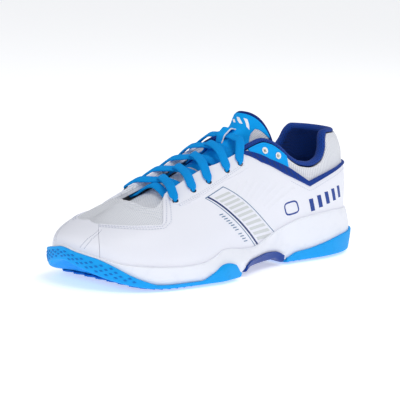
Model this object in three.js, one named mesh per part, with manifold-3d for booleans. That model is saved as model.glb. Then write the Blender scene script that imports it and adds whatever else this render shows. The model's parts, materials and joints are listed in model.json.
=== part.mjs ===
// Court shoe for the left foot, built as an assembly of separate pieces.
// Frame: millimetres, +X towards the toe, +Y towards the outer (lateral) side, +Z up.
// The origin is the centre of the shoe's own box, on the ground.
import * as THREE from "three";
import { mergeVertices } from "three/addons/utils/BufferGeometryUtils.js";
import Module from "manifold-3d";

const wasm = await Module();
wasm.setup();

// ---------------------------------------------------------------- driving dimensions
const SHOE_LENGTH = 291; // heel to toe, over the sole
const SHOE_WIDTH = 107; // across the ball, over the sole
const INSTEP_HEIGHT = 120; // ground to the ridge of the last over the ankle opening
const PATTERN = { length: 291, width: 107, height: 120 }; // the size that the tables below are drawn in

const LAYER_GAP = 0.4; // clearance between two layers of the upper
const SEAT_GAP = 0.3; // clearance between two pieces that rest on each other
const BASE_THICKNESS = 1.2; // vamp mesh and quarter mesh, outer face on the last's surface
const OVERLAY_THICKNESS = 1.1; // synthetic leather over the base
const TRIM_THICKNESS = 0.8; // eyestays and trim bands over the overlay
const STIFFENER_THICKNESS = 1.0; // toe puff and heel counter, inside the base
const LINING_THICKNESS = 0.8;
const FOAM_THICKNESS = 4.2; // collar padding at its thickest
const COLLAR_ROLL = 1.7; // half height of the rolled edge round the ankle opening
const TONGUE_THICKNESS = 5;
const TONGUE_DEPTH = 8; // from the last's surface down to the tongue's face, under the eyestays
const TONGUE_BINDING_RADIUS = 1.9;
const KEEPER_HEIGHT = 4; // clear height under the lace keeper
const KEEPER_THICKNESS = 0.9;
const CUP_WALL = 1.8; // midsole wall at its upper edge
const RUBBER_SHEET = 3.6; // outsole under the foot
const RUBBER_WRAP = 1.8; // outsole where it stands up the midsole's side
const SHANK_THICKNESS = 3.4;
const STROBEL_THICKNESS = 1.4;
const INSOLE_THICKNESS = 4.2;
const INSOLE_RIM = 3; // how far the insole's edge turns up
const CUSHION_THICKNESS = 4;
const CUSHION_INSET = 13; // from the feather edge in to the cushions
const LACE_WIDTH = 6.4;
const LACE_THICKNESS = 2.4;
const EYELET_HOLE_RADIUS = 2.3;
const EYELET_FLANGE_RADIUS = 3.2;
const EYELET_FLANGE_THICKNESS = 0.7;
const EYELET_WALL = 0.5;
const LACED_ROWS = 5; // rows of eyelets that the lace uses, from the toe end

const gradeX = SHOE_LENGTH / PATTERN.length;
const gradeY = SHOE_WIDTH / PATTERN.width;
const gradeZ = INSTEP_HEIGHT / PATTERN.height;

// ---------------------------------------------------------------- the last
// One row for each station from the heel's centre (first) to the toe's tip (last):
// feather edge x, y, z; ridge x, y, z; wall handle out, up; roof handle out, drop.
const LATERAL = [
  [-140, 0, 27, -96, 0, 120, 4, 40, 38, 0],
  [-132, 20, 27, -93, 0, 120, 4, 42, 36, 0],
  [-108, 31.5, 26, -82, 0, 120, 3, 45, 31, 0],
  [-76, 33, 23, -62, 0, 119, 3, 46, 30, -1],
  [-42, 32, 19, -38, 0, 114, 5, 46, 28, -2],
  [-8, 36, 16, -12, -1, 104, 6, 42, 26, -2],
  [26, 43.5, 14, 18, -3, 89, 5, 34, 25, -1],
  [60, 47.5, 13.5, 50, -5, 73, 4, 28, 27, 1],
  [94, 42, 15.5, 80, -7, 60.5, 3, 23, 28, 4.5],
  [122, 24, 21, 100, -9, 52.5, 2.5, 18, 23, 8],
  [138, -9, 27, 108, -9.5, 49, 2, 13, 19, 9],
];
// The same stations on the inner side, from beside the toe's tip back to beside the heel's centre.
const MEDIAL = [
  [128, -34, 21.5, 100, -9, 52.5, 2.5, 18, 23, 8],
  [104, -45, 15.5, 80, -7, 60.5, 3, 23, 26, 4.5],
  [70, -46, 13.5, 50, -5, 73, 4, 28, 24, 1],
  [34, -40.5, 14, 18, -3, 89, 5, 34, 22, -1],
  [-2, -32, 17, -12, -1, 104, 6, 42, 23, -2],
  [-38, -28.5, 20.5, -38, 0, 114, 5, 46, 26, -2],
  [-74, -30, 24, -62, 0, 119, 3, 46, 30, -1],
  [-107, -30, 26, -82, 0, 120, 3, 45, 31, 0],
  [-132, -19.5, 27, -93, 0, 120, 4, 42, 36, 0],
];
const ROWS = [...LATERAL, ...MEDIAL];
const GRADES = [gradeX, gradeY, gradeZ, gradeX, gradeY, gradeZ, 1, gradeZ, gradeY, gradeZ];

// A smooth closed curve through evenly spaced values: f(t) repeats every 1.
function closedSpline(values) {
  const n = values.length;
  const at = (i) => values[((i % n) + n) % n];
  const bend = new Array(n).fill(0);
  for (let pass = 0; pass < 40; pass++)
    for (let i = 0; i < n; i++)
      bend[i] =
        (6 * (at(i - 1) - 2 * at(i) + at(i + 1)) - bend[(i + n - 1) % n] - bend[(i + 1) % n]) / 4;
  return (t) => {
    const place = (t - Math.floor(t)) * n;
    const i = Math.floor(place) % n;
    const f = place - Math.floor(place);
    const g = 1 - f;
    return (
      g * at(i) + f * at(i + 1) +
      ((g * g * g - g) * bend[i] + (f * f * f - f) * bend[(i + 1) % n]) / 6
    );
  };
}

const COLUMNS = GRADES.map((grade, k) => closedSpline(ROWS.map((row) => row[k] * grade)));
const column = (k, t) => COLUMNS[k](t);
const lerp = (a, b, f) => a + (b - a) * f;
const clamp = (x, low, high) => Math.min(high, Math.max(low, x));
function smooth(x, from, to) {
  const f = clamp((x - from) / (to - from), 0, 1);
  return f * f * (3 - 2 * f);
}

// Place on the feather edge, and the outward direction there in plan.
const feather = (t) => new THREE.Vector3(column(0, t), column(1, t), column(2, t));
function outward(t) {
  const step = 1e-4;
  const along = feather(t + step).sub(feather(t - step));
  return new THREE.Vector3(-along.y, along.x, 0).normalize();
}

// The last's surface: t goes round from the heel along the outer side to the toe (0.5) and back,
// and v goes up from the feather edge (0) to the ridge (1).
function lastPoint(t, v) {
  const foot = feather(t);
  const out = outward(t);
  const ridge = new THREE.Vector3(column(3, t), column(4, t), column(5, t));
  const low = foot.clone().addScaledVector(out, column(6, t));
  low.z += column(7, t);
  const high = ridge.clone().addScaledVector(out, column(8, t));
  high.z -= column(9, t);
  const w = 1 - v;
  return foot
    .multiplyScalar(w * w * w)
    .addScaledVector(low, 3 * w * w * v)
    .addScaledVector(high, 3 * w * v * v)
    .addScaledVector(ridge, v * v * v);
}

const RIDGE_NEAR = 0.985; // normals are read just short of the ridge, where the surface folds
function sideNormal(t, v) {
  const dt = 1e-4;
  const dv = 1e-3;
  const vv = clamp(v, dv, RIDGE_NEAR);
  const along = lastPoint(t + dt, vv).sub(lastPoint(t - dt, vv));
  const up = lastPoint(t, vv + dv).sub(lastPoint(t, vv - dv));
  return up.cross(along).normalize();
}
function lastNormal(t, v) {
  const n = sideNormal(t, v);
  const near = smooth(v, 0.9, 1) / 2;
  return near > 0 ? n.lerp(sideNormal(1 - t, v), near * smooth(v, 0.9, 1)).normalize() : n;
}
const shell = (t, v, offset) => lastPoint(t, v).addScaledVector(lastNormal(t, v), offset);

// ---------------------------------------------------------------- layers, as offsets from the last
const BASE = { outer: 0, inner: -BASE_THICKNESS };
const OVERLAY = { inner: LAYER_GAP, outer: LAYER_GAP + OVERLAY_THICKNESS };
const TRIM = { inner: OVERLAY.outer + LAYER_GAP, outer: OVERLAY.outer + LAYER_GAP + TRIM_THICKNESS };
const STIFFENER = {
  outer: BASE.inner - LAYER_GAP,
  inner: BASE.inner - LAYER_GAP - STIFFENER_THICKNESS,
};
const LINING_OUTER = STIFFENER.inner - LAYER_GAP;
const LINING = { outer: LINING_OUTER, inner: LINING_OUTER - LINING_THICKNESS };
const CUP_INNER = OVERLAY.outer + LAYER_GAP;

// ---------------------------------------------------------------- curves over the last
// A smooth curve through points [t, value] that never overshoots them, level beyond both ends.
function through(points) {
  const last = points.length - 1;
  const slopes = points.slice(1).map((p, i) => (p[1] - points[i][1]) / (p[0] - points[i][0]));
  const turn = points.map((p, i) => {
    if (i === 0 || i === last || slopes[i - 1] * slopes[i] <= 0) return 0;
    return (2 * slopes[i - 1] * slopes[i]) / (slopes[i - 1] + slopes[i]);
  });
  return (t) => {
    if (t <= points[0][0]) return points[0][1];
    if (t >= points[last][0]) return points[last][1];
    const i = points.findIndex((p) => p[0] > t) - 1;
    const h = points[i + 1][0] - points[i][0];
    const f = (t - points[i][0]) / h;
    const g = 1 - f;
    return (
      g * g * (1 + 2 * f) * points[i][1] + f * f * (1 + 2 * g) * points[i + 1][1] +
      h * f * g * (g * turn[i] - f * turn[i + 1])
    );
  };
}
// Straight runs through points [t, value].
function corners(points) {
  return (t) => {
    const i = clamp(points.findIndex((p) => p[0] > t) - 1, 0, points.length - 2);
    const j = t >= points[points.length - 1][0] ? points.length - 2 : i;
    const f = clamp((t - points[j][0]) / (points[j + 1][0] - points[j][0]), 0, 1);
    return lerp(points[j][1], points[j + 1][1], f);
  };
}
// The same curve on both sides: t counts from the heel's centre to the toe's tip.
const sideOf = (t) => 0.5 - Math.abs(t - Math.floor(t) - 0.5);

// Upper edge of the upper: round the ankle opening, then forward along the throat.
const TOP_EDGE = through([
  [0, 0.62], [0.078, 0.62], [0.09, 0.58], [0.102, 0.49], [0.118, 0.42], [0.136, 0.4], [0.156, 0.42],
  [0.172, 0.47], [0.186, 0.545], [0.204, 0.63], [0.222, 0.68], [0.24, 0.69], [0.266, 0.7],
  [0.294, 0.725], [0.316, 0.77], [0.338, 0.78], [0.366, 0.77], [0.375, 0.72], [0.385, 0.69],
  [0.394, 0.75], [0.402, 0.88], [0.412, 1],
]);
const isMedial = (t) => t - Math.floor(t) > 0.5;
// The inner side's edge stands a little higher beside the throat and drops sooner behind the ankle.
const EDGE_LIFT = 0.02;
const EDGE_SHIFT = 0.014;
function topEdge(t) {
  const s = sideOf(t);
  if (!isMedial(t)) return TOP_EDGE(s);
  const lift = EDGE_LIFT * smooth(s, 0.24, 0.3) * (1 - smooth(s, 0.375, 0.4));
  return TOP_EDGE(s + EDGE_SHIFT * smooth(s, 0.03, 0.07) * (1 - smooth(s, 0.12, 0.15))) + lift;
}
const THROAT_BASE = 0.412; // where the throat's edge meets the ridge
const EDGE_ALLOWANCE = 0.026; // how far below the collar's roll the layers end
const layerTop = (t) => {
  const s = sideOf(t);
  return s >= THROAT_BASE ? 1 : topEdge(t) - EDGE_ALLOWANCE * (1 - smooth(s, 0.262, 0.285));
};
// Upper edge of the leather overlay: heel, trim line, eyestay, and the seam round the vamp's window.
const BAND_VERTEX = 0.147;
const BAND_FRONT = 0.2565;
const BAND_HIGH = corners([
  [0, 0.39], [0.066, 0.372], [BAND_VERTEX, 0.303], [0.18, 0.42], [0.214, 0.52], [BAND_FRONT, 0.69],
]);
const BAND_LOW = corners([
  [0, 0.366], [0.066, 0.346], [BAND_VERTEX, 0.262], [0.19, 0.38], [0.232, 0.52], [BAND_FRONT, 0.645],
]);
const bandMiddle = (t) => (BAND_HIGH(t) + BAND_LOW(t)) / 2;
const EYESTAY_FRONT = 0.366;
const TOE_SEAM = 0.462;
const OVERLAY_EDGE = through([
  [EYESTAY_FRONT, 0.765], [0.372, 0.72], [0.38, 0.6], [0.388, 0.475], [0.4, 0.505], [0.422, 0.56],
  [0.446, 0.64], [TOE_SEAM, 0.69],
]);
const overlayTop = (t) => {
  const s = sideOf(t);
  if (s <= BAND_FRONT) return bandMiddle(s);
  return s < EYESTAY_FRONT ? topEdge(t) - 0.005 : OVERLAY_EDGE(s);
};
const toeCapTop = through([
  [TOE_SEAM, 0.69], [0.48, 0.77], [0.5, 0.84], [0.52, 0.77], [1 - TOE_SEAM, 0.69],
]);
const EYESTAY_LOW = 0.565;
const TAB_REAR = 0.182;
// Eyelet rows, from the toe end back: place along the last and height up it.
const EYELETS = [
  [0.362, 0.64], [0.338, 0.64], [0.316, 0.63], [0.288, 0.62], [0.267, 0.605], [0.22, 0.59], [0.197, 0.515],
];

// ---------------------------------------------------------------- solids from faces
// A closed solid from four-cornered faces. Corners that fall together are merged, and two faces
// that fall together back to back, where a surface is zipped to itself, are left out.
function solid(quads) {
  const ids = new Map();
  const places = [];
  const id = (p) => {
    const key = `${Math.round(p.x * 1000)},${Math.round(p.y * 1000)},${Math.round(p.z * 1000)}`;
    if (!ids.has(key)) {
      ids.set(key, places.length);
      places.push(p);
    }
    return ids.get(key);
  };
  const triangles = new Map();
  const add = (a, b, c) => {
    if (a === b || b === c || c === a) return;
    const key = [a, b, c].sort((p, q) => p - q).join();
    if (triangles.has(key)) triangles.delete(key);
    else triangles.set(key, [a, b, c]);
  };
  for (const quad of quads) {
    const corner = quad.map(id);
    const first = corner.indexOf(Math.min(...corner));
    const [a, b, c, d] = [0, 1, 2, 3].map((k) => corner[(first + k) % 4]);
    add(a, b, c);
    add(a, c, d);
  }
  const geometry = new THREE.BufferGeometry();
  const numbers = places.flatMap((p) => [p.x, p.y, p.z]);
  geometry.setAttribute("position", new THREE.Float32BufferAttribute(numbers, 3));
  geometry.setIndex([...triangles.values()].flat());
  return geometry;
}

// A solid between two grids of points, outer[i][j] and inner[i][j], closed along its four edges.
function slab(outer, inner) {
  const rows = outer.length - 1;
  const columns = outer[0].length - 1;
  const quads = [];
  for (let i = 0; i < rows; i++)
    for (let j = 0; j < columns; j++) {
      quads.push([outer[i][j], outer[i][j + 1], outer[i + 1][j + 1], outer[i + 1][j]]);
      quads.push([inner[i][j], inner[i + 1][j], inner[i + 1][j + 1], inner[i][j + 1]]);
    }
  for (let i = 0; i < rows; i++) {
    quads.push([outer[i][0], outer[i + 1][0], inner[i + 1][0], inner[i][0]]);
    quads.push([outer[i + 1][columns], outer[i][columns], inner[i][columns], inner[i + 1][columns]]);
  }
  for (let j = 0; j < columns; j++) {
    quads.push([outer[0][j + 1], outer[0][j], inner[0][j], inner[0][j + 1]]);
    quads.push([outer[rows][j], outer[rows][j + 1], inner[rows][j + 1], inner[rows][j]]);
  }
  return solid(quads);
}

// A solid through rings of points, closed at both ends.
function sweep(rings) {
  const quads = [];
  const sides = rings[0].length;
  for (let i = 0; i + 1 < rings.length; i++)
    for (let k = 0; k < sides; k++) {
      const next = (k + 1) % sides;
      quads.push([rings[i][k], rings[i][next], rings[i + 1][next], rings[i + 1][k]]);
    }
  const cap = (ring, turned) => {
    const centre = ring.reduce((sum, p) => sum.add(p), new THREE.Vector3()).divideScalar(sides);
    for (let k = 0; k < sides; k++) {
      const next = (k + 1) % sides;
      quads.push(turned ? [centre, ring[next], ring[k], centre] : [centre, ring[k], ring[next], centre]);
    }
  };
  cap(rings[0], true);
  cap(rings[rings.length - 1], false);
  return solid(quads);
}

const GRID = 1 / 70; // spacing of the stations that all pieces share
function stations(from, to, ...extra) {
  const list = [from, to, ...extra];
  for (let i = Math.ceil(from / GRID); i * GRID < to; i++)
    if (list.every((t) => Math.abs(t - i * GRID) > GRID / 4)) list.push(i * GRID);
  return list.sort((a, b) => a - b);
}
const steps = (count) => Array.from({ length: count + 1 }, (_, i) => i / count);
const asValue = (value) => (typeof value === "function" ? value : () => value);

// A layer of the upper between a low edge and a high edge. All layers share their stations and
// rows, so that their faces run parallel, and rows past an edge fall together on it.
const ROW_COUNT = 7;
function layer(list, low, high, depth) {
  const rowsAt = (t) =>
    steps(ROW_COUNT).map((f) => clamp(f * layerTop(t), asValue(low)(t), asValue(high)(t)));
  const face = (offset) => list.map((t) => rowsAt(t).map((v) => shell(t, v, asValue(offset)(t, v))));
  return slab(face(depth.outer), face(depth.inner));
}

function toManifold(geometry) {
  const plain = geometry.clone();
  for (const name of ["normal", "uv"]) plain.deleteAttribute(name);
  const merged = mergeVertices(plain, 1e-4);
  return new wasm.Manifold(
    new wasm.Mesh({
      numProp: 3,
      vertProperties: new Float32Array(merged.attributes.position.array),
      triVerts: new Uint32Array(merged.index.array),
    }),
  );
}
function fromManifold(body) {
  const mesh = body.getMesh();
  const geometry = new THREE.BufferGeometry();
  geometry.setAttribute("position", new THREE.Float32BufferAttribute(mesh.vertProperties, 3));
  geometry.setIndex([...mesh.triVerts]);
  return geometry;
}
function cut(geometry, ...tools) {
  return fromManifold(tools.reduce((body, tool) => body.subtract(toManifold(tool)), toManifold(geometry)));
}

// ---------------------------------------------------------------- upper
const WING = 0.3285; // where the vamp mesh meets the quarter mesh
const WING_GAP = 0.003;
const mirrored = (list) => list.map((t) => 1 - t).sort((a, b) => a - b);

function eyeletFrame(row, lateral) {
  const [s, height] = EYELETS[row];
  const t = lateral ? s : 1 - s;
  const v = height + topEdge(t) - TOP_EDGE(s);
  const place = shell(t, v, 0);
  const up = lastNormal(t, v);
  const across = shell(t, v + 0.02, 0).sub(place);
  across.addScaledVector(up, -across.dot(up)).normalize();
  const along = new THREE.Vector3().crossVectors(across, up).multiplyScalar(lateral ? -1 : 1).normalize();
  return { place, up, across, along };
}
function eyeletHole(row, lateral) {
  const { place, up } = eyeletFrame(row, lateral);
  const drill = new THREE.CylinderGeometry(EYELET_HOLE_RADIUS, EYELET_HOLE_RADIUS, 16, 8);
  drill.applyQuaternion(new THREE.Quaternion().setFromUnitVectors(new THREE.Vector3(0, 1, 0), up));
  return drill.translate(place.x, place.y, place.z);
}
const rowsOf = (...rows) => rows.flatMap((row) => [eyeletHole(row, true), eyeletHole(row, false)]);
const oneSide = (lateral, ...rows) => rows.map((row) => eyeletHole(row, lateral));

const SEAM_CORNERS = [EYESTAY_FRONT, 0.38, 0.388, 0.394];
function vampLayer(depth) {
  const inside = [THROAT_BASE, 1 - THROAT_BASE, ...SEAM_CORNERS, ...mirrored(SEAM_CORNERS)];
  const list = stations(WING + WING_GAP, 1 - WING - WING_GAP, ...inside);
  return cut(layer(list, 0, layerTop, depth), ...rowsOf(0, 1));
}
function quarterLayer(depth) {
  const list = stations(-WING, WING, -0.118, 0.118, -0.09, 0.09);
  return cut(layer(list, 0, layerTop, depth), ...rowsOf(2, 3, 4, 5, 6));
}
// How far the collar's padding is filled: full round the ankle, nothing low down or at the throat.
const padding = (t, v) => smooth(v, 0.26, 0.4) * smooth(sideOf(t), 0.23, 0.18);
const padDepth = (t, v) => (FOAM_THICKNESS - STIFFENER_THICKNESS) * padding(t, v);
const collarLiningDepth = {
  outer: (t, v) => LINING.outer - padDepth(t, v),
  inner: (t, v) => LINING.inner - padDepth(t, v),
};

function overlaySide(lateral) {
  const seam = 0.003; // half the gap of the seam at the heel's centre
  const list = stations(seam, TOE_SEAM, BAND_VERTEX, ...SEAM_CORNERS);
  const body = layer(lateral ? list : mirrored(list), 0, overlayTop, OVERLAY);
  return cut(body, ...oneSide(lateral, 0, 1, 2, 3, 4));
}
function eyestay(lateral) {
  const list = stations(BAND_FRONT + 0.0025, EYESTAY_FRONT - 0.002);
  const low = (t) => EYESTAY_LOW + 0.02 * smooth(sideOf(t), 0.27, 0.3);
  const body = layer(lateral ? list : mirrored(list), low, (t) => topEdge(t) - 0.012, TRIM);
  return cut(body, ...oneSide(lateral, 0, 1, 2, 3, 4));
}
function laceTab(lateral) {
  const list = stations(TAB_REAR, 0.246);
  const low = (t) => bandMiddle(sideOf(t)) + 0.008;
  const body = layer(lateral ? list : mirrored(list), low, layerTop, OVERLAY);
  return cut(body, ...oneSide(lateral, 5, 6));
}
function trimBand(lateral) {
  const list = stations(0.004, BAND_FRONT, BAND_VERTEX);
  const side = lateral ? list : mirrored(list);
  return layer(side, (t) => BAND_LOW(sideOf(t)), (t) => BAND_HIGH(sideOf(t)), TRIM);
}
const toeOverlay = () => layer(stations(TOE_SEAM + 0.003, 1 - TOE_SEAM - 0.003), 0, toeCapTop, OVERLAY);
const toePuff = () => layer(stations(0.45, 0.55), 0.02, 0.72, STIFFENER);
const heelCounter = () => layer(stations(-0.15, 0.15), 0.02, 0.24, STIFFENER);
function collarFoam() {
  const depth = {
    outer: STIFFENER.outer,
    inner: (t, v) => STIFFENER.inner - padDepth(t, v),
  };
  return layer(stations(-0.225, 0.225, -0.118, 0.118), 0.26, (t) => layerTop(t) - 0.004, depth);
}
const collarLining = () => quarterLayer(collarLiningDepth);
const vampLining = () => vampLayer(LINING);

// Where the edge of the ankle opening bends most.
const ROLL_BENDS = [0.084, 0.09, 0.096, 0.102, 0.11, 0.118, 0.194, 0.204];
// The rolled edge round the ankle opening, just above the ends of the layers that it covers.
function collarRoll() {
  const list = stations(-BAND_FRONT, BAND_FRONT, ...ROLL_BENDS.flatMap((t) => [t, -t]));
  const rings = list.map((t) => {
    const s = sideOf(t);
    const filled = smooth(s, 0.23, 0.18);
    const outer = lerp(OVERLAY.outer, BASE.outer, smooth(s, 0.19, 0.175)) + 0.3;
    const inner = LINING.inner - (FOAM_THICKNESS - STIFFENER_THICKNESS) * filled - 0.3;
    const v = topEdge(t);
    const centre = shell(t, v, (outer + inner) / 2);
    const ahead = shell(t + 0.004, topEdge(t + 0.004), (outer + inner) / 2);
    const behind = shell(t - 0.004, topEdge(t - 0.004), (outer + inner) / 2);
    const along = ahead.sub(behind).normalize();
    const out = lastNormal(t, v);
    out.addScaledVector(along, -out.dot(along)).normalize();
    const up = new THREE.Vector3().crossVectors(along, out).normalize();
    return flatRing(centre, out, up, (outer - inner) / 2, COLLAR_ROLL, 8);
  });
  return sweep(rings);
}

// A rounded flat section in the plane of two directions.
function flatRing(centre, wide, thin, halfWidth, halfThickness, sides) {
  return steps(sides).slice(0, sides).map((f) => {
    const angle = 2 * Math.PI * (f + 0.5 / sides);
    return centre.clone()
      .addScaledVector(wide, halfWidth * Math.cos(angle))
      .addScaledVector(thin, halfThickness * Math.sin(angle));
  });
}

// ---------------------------------------------------------------- tongue
const TONGUE_EDGE = 0.7; // how far down the last the tongue's sides reach
const TONGUE_SPLIT = 0.239; // station where the tongue's free part begins to bend
const TONGUE_TIP = new THREE.Vector3(-29, 0, 117);
const TONGUE_HALF_WIDTH = 18;
const TONGUE_DROP = 22; // from the tip down to the corners of the top edge
const TONGUE_WRAP = 17; // how far the corners lie behind the tip
const TONGUE_COLUMNS = 10;
// The tongue's middle rises to the last's surface behind the last crossing of the lace.
const TONGUE_MIDDLE = through([[0.225, 1.2], [0.24, 2.2], [0.262, 5.2], [0.286, TONGUE_DEPTH]]);
const tongueDepth = (t, v) => lerp(TONGUE_DEPTH, TONGUE_MIDDLE(sideOf(t)), smooth(v, 0.78, 0.93));

function tongueLower() {
  const list = stations(TONGUE_SPLIT + 0.001, 0.404, 0.262);
  const across = steps(TONGUE_COLUMNS);
  const face = (extra) =>
    list.map((t) =>
      across.map((f) => {
        const v = 1 - (1 - TONGUE_EDGE) * Math.abs(2 * f - 1);
        const side = f <= 0.5 ? t : 1 - t;
        return shell(side, v, -tongueDepth(side, v) - extra);
      }),
    );
  return slab(face(0), face(TONGUE_THICKNESS));
}
// The free part's face: s from the bend (0) to the top edge (1), w from one side (-1) to the other.
const TONGUE_LEAVE = 20; // how firmly the free part keeps the direction that it leaves in
function tongueFace(s, w) {
  const t = w >= 0 ? TONGUE_SPLIT - 0.001 : 1 - TONGUE_SPLIT + 0.001;
  const back = w >= 0 ? -1 : 1;
  const v = 1 - (1 - TONGUE_EDGE) * Math.abs(w);
  const on = (place) => shell(place, v, -tongueDepth(place, v));
  const start = on(t);
  const leave = on(t + back * 0.01).sub(start).normalize().multiplyScalar(TONGUE_LEAVE);
  const end = TONGUE_TIP.clone();
  end.multiply(new THREE.Vector3(gradeX, gradeY, gradeZ));
  end.y = TONGUE_HALF_WIDTH * Math.sin((w * Math.PI) / 2);
  end.x -= TONGUE_WRAP * Math.pow(Math.abs(w), 1.6);
  end.z -= TONGUE_DROP * Math.pow(Math.abs(w), 2.4);
  const arrive = new THREE.Vector3(-12, 0, lerp(18, 6, w * w));
  const g = 1 - s;
  return start.multiplyScalar(g * g * (1 + 2 * s))
    .addScaledVector(end, s * s * (1 + 2 * g))
    .addScaledVector(leave, s * g * g)
    .addScaledVector(arrive, -s * s * g);
}
function tongueNormal(s, w) {
  const d = 0.02;
  const up = tongueFace(Math.min(s + d, 1), w).sub(tongueFace(Math.max(s - d, 0), w));
  const wc = clamp(w, -1 + d, 1 - d);
  const across = tongueFace(s, wc + d).sub(tongueFace(s, wc - d));
  return across.cross(up).normalize();
}
const tonguePoint = (s, w, depth) => tongueFace(s, w).addScaledVector(tongueNormal(s, w), -depth);
function tongueUpper() {
  const across = steps(TONGUE_COLUMNS).map((f) => 1 - 2 * f);
  const face = (depth) => steps(7).map((s) => across.map((w) => tonguePoint(s, w, depth)));
  return slab(face(TONGUE_THICKNESS), face(0));
}
// The bound edge of the free part: up one side, over the top and down the other side.
function tongueBinding() {
  const path = [
    ...steps(5).map((f) => [lerp(0.12, 1, f), 1]),
    ...steps(12).slice(1, 12).map((f) => [1, 1 - 2 * f]),
    ...steps(5).map((f) => [lerp(1, 0.12, f), -1]),
  ];
  const reach = TONGUE_BINDING_RADIUS + 3.2 * SEAT_GAP;
  const places = path.map(([s, w]) => {
    const centre = tonguePoint(s, w, TONGUE_THICKNESS / 2);
    const side = tonguePoint(s, w, TONGUE_THICKNESS / 2).sub(tonguePoint(s, w * 0.9, TONGUE_THICKNESS / 2));
    const top = tonguePoint(1, w, TONGUE_THICKNESS / 2).sub(tonguePoint(0.9, w, TONGUE_THICKNESS / 2));
    const away = new THREE.Vector3();
    if (Math.abs(w) > 0.999) away.add(side.normalize());
    if (s > 0.999) away.add(top.normalize());
    return { centre: centre.addScaledVector(away.normalize(), reach), out: tongueNormal(s, w) };
  });
  return sweep(places.map(({ centre, out }, i) => {
    const ahead = places[Math.min(i + 1, places.length - 1)].centre;
    const behind = places[Math.max(i - 1, 0)].centre;
    const along = ahead.clone().sub(behind).normalize();
    const face = out.clone().addScaledVector(along, -out.dot(along)).normalize();
    const side = new THREE.Vector3().crossVectors(along, face).normalize();
    return flatRing(centre, face, side, TONGUE_THICKNESS / 2, TONGUE_BINDING_RADIUS, 8);
  }));
}
// The webbing loop on the tongue that the lace's ends pass under.
const KEEPER_SPAN = [0.2415, 0.267];
const KEEPER_EDGE = 0.94;
function laceKeeper() {
  const along = steps(8);
  const across = steps(4);
  const rise = (f) => SEAT_GAP + (KEEPER_HEIGHT - SEAT_GAP) * smooth(Math.min(f, 1 - f), 0, 0.25);
  const face = (extra) =>
    along.map((f) =>
      across.map((g) => {
        const t = lerp(KEEPER_SPAN[0], KEEPER_SPAN[1], f);
        const v = 1 - (1 - KEEPER_EDGE) * Math.abs(2 * g - 1);
        return shell(g <= 0.5 ? t : 1 - t, v, -tongueDepth(t, v) + rise(f) + extra);
      }),
    );
  return slab(face(KEEPER_THICKNESS), face(0));
}

// ---------------------------------------------------------------- lace
const LACE_OVER = TRIM.outer + 2 * SEAT_GAP + LACE_THICKNESS / 2; // lace's middle above the eyestay
const LACE_UNDER = LINING.inner - 2 * SEAT_GAP - LACE_THICKNESS / 2; // and below it
const CROSSING_LOW = -3; // middle of the lower strand where two strands cross
const CROSSING_HIGH = CROSSING_LOW + LACE_THICKNESS + LAYER_GAP;
const BEND = 1.6; // radius of the lace's bend into and out of an eyelet

// From beneath the eyestay, up through an eyelet and back over the eyestay: [across, up] pairs.
const threading = () => [
  [BEND * 2.6, LACE_UNDER],
  [BEND, LACE_UNDER],
  [BEND * 0.3, LACE_UNDER + BEND * 0.3],
  [0, LACE_UNDER + BEND],
  [0, LACE_OVER - BEND],
  [BEND * 0.3, LACE_OVER - BEND * 0.3],
  [BEND, LACE_OVER],
  [BEND * 2.6, LACE_OVER],
];
function throughEyelet(row, lateral) {
  const { place, up, across } = eyeletFrame(row, lateral);
  return threading().map(([a, b]) => ({
    at: place.clone().addScaledVector(across, a).addScaledVector(up, b),
    narrow: a < BEND,
  }));
}
const onLast = (s, lateral, v, offset) => ({ at: shell(lateral ? s : 1 - s, v, offset), narrow: false });
function crossing(row, lateral) {
  const from = EYELETS[row][0];
  const to = EYELETS[row + 1][0];
  const middle = lateral ? CROSSING_HIGH : CROSSING_LOW;
  return [
    onLast(lerp(from, to, 0.17), lateral, 0.78, LACE_OVER),
    onLast(lerp(from, to, 0.34), lateral, 0.89, lerp(LACE_OVER, middle, 0.6)),
    onLast((from + to) / 2, lateral, 1, middle),
    onLast(lerp(from, to, 0.66), !lateral, 0.89, lerp(middle, LACE_UNDER, 0.5)),
    onLast(lerp(from, to, 0.84), !lateral, 0.8, LACE_UNDER),
    onLast(lerp(from, to, 0.95), !lateral, 0.72, LACE_UNDER),
  ];
}
// One half of the lace, from the middle of the bar at the toe end to its end under the keeper.
function laceHalf(startLateral) {
  const first = EYELETS[0][0];
  const points = [
    onLast(first, startLateral, 1, LACE_UNDER),
    onLast(first, startLateral, 0.88, LACE_UNDER),
    onLast(first, startLateral, 0.75, LACE_UNDER),
  ];
  let lateral = startLateral;
  for (let row = 0; row < LACED_ROWS; row++) {
    points.push(...throughEyelet(row, lateral));
    if (row < LACED_ROWS - 1) {
      points.push(...crossing(row, lateral));
      lateral = !lateral;
    }
  }
  const keeper = (KEEPER_SPAN[0] + KEEPER_SPAN[1]) / 2;
  const rest = (v) => -tongueDepth(keeper, v) + SEAT_GAP + LACE_THICKNESS / 2;
  return [
    ...points,
    onLast(keeper, lateral, 0.78, LACE_OVER - 1.5),
    onLast(keeper, lateral, 0.84, -0.6),
    onLast(keeper, lateral, 0.89, rest(0.89) + 0.8),
    onLast(keeper, lateral, 0.94, rest(0.94)),
    onLast(keeper, lateral, 0.965, rest(0.965)),
  ];
}
function laceRoute() {
  return [...laceHalf(false).reverse(), ...laceHalf(true).slice(1)];
}
const LACE_SIDES = 6;
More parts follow.
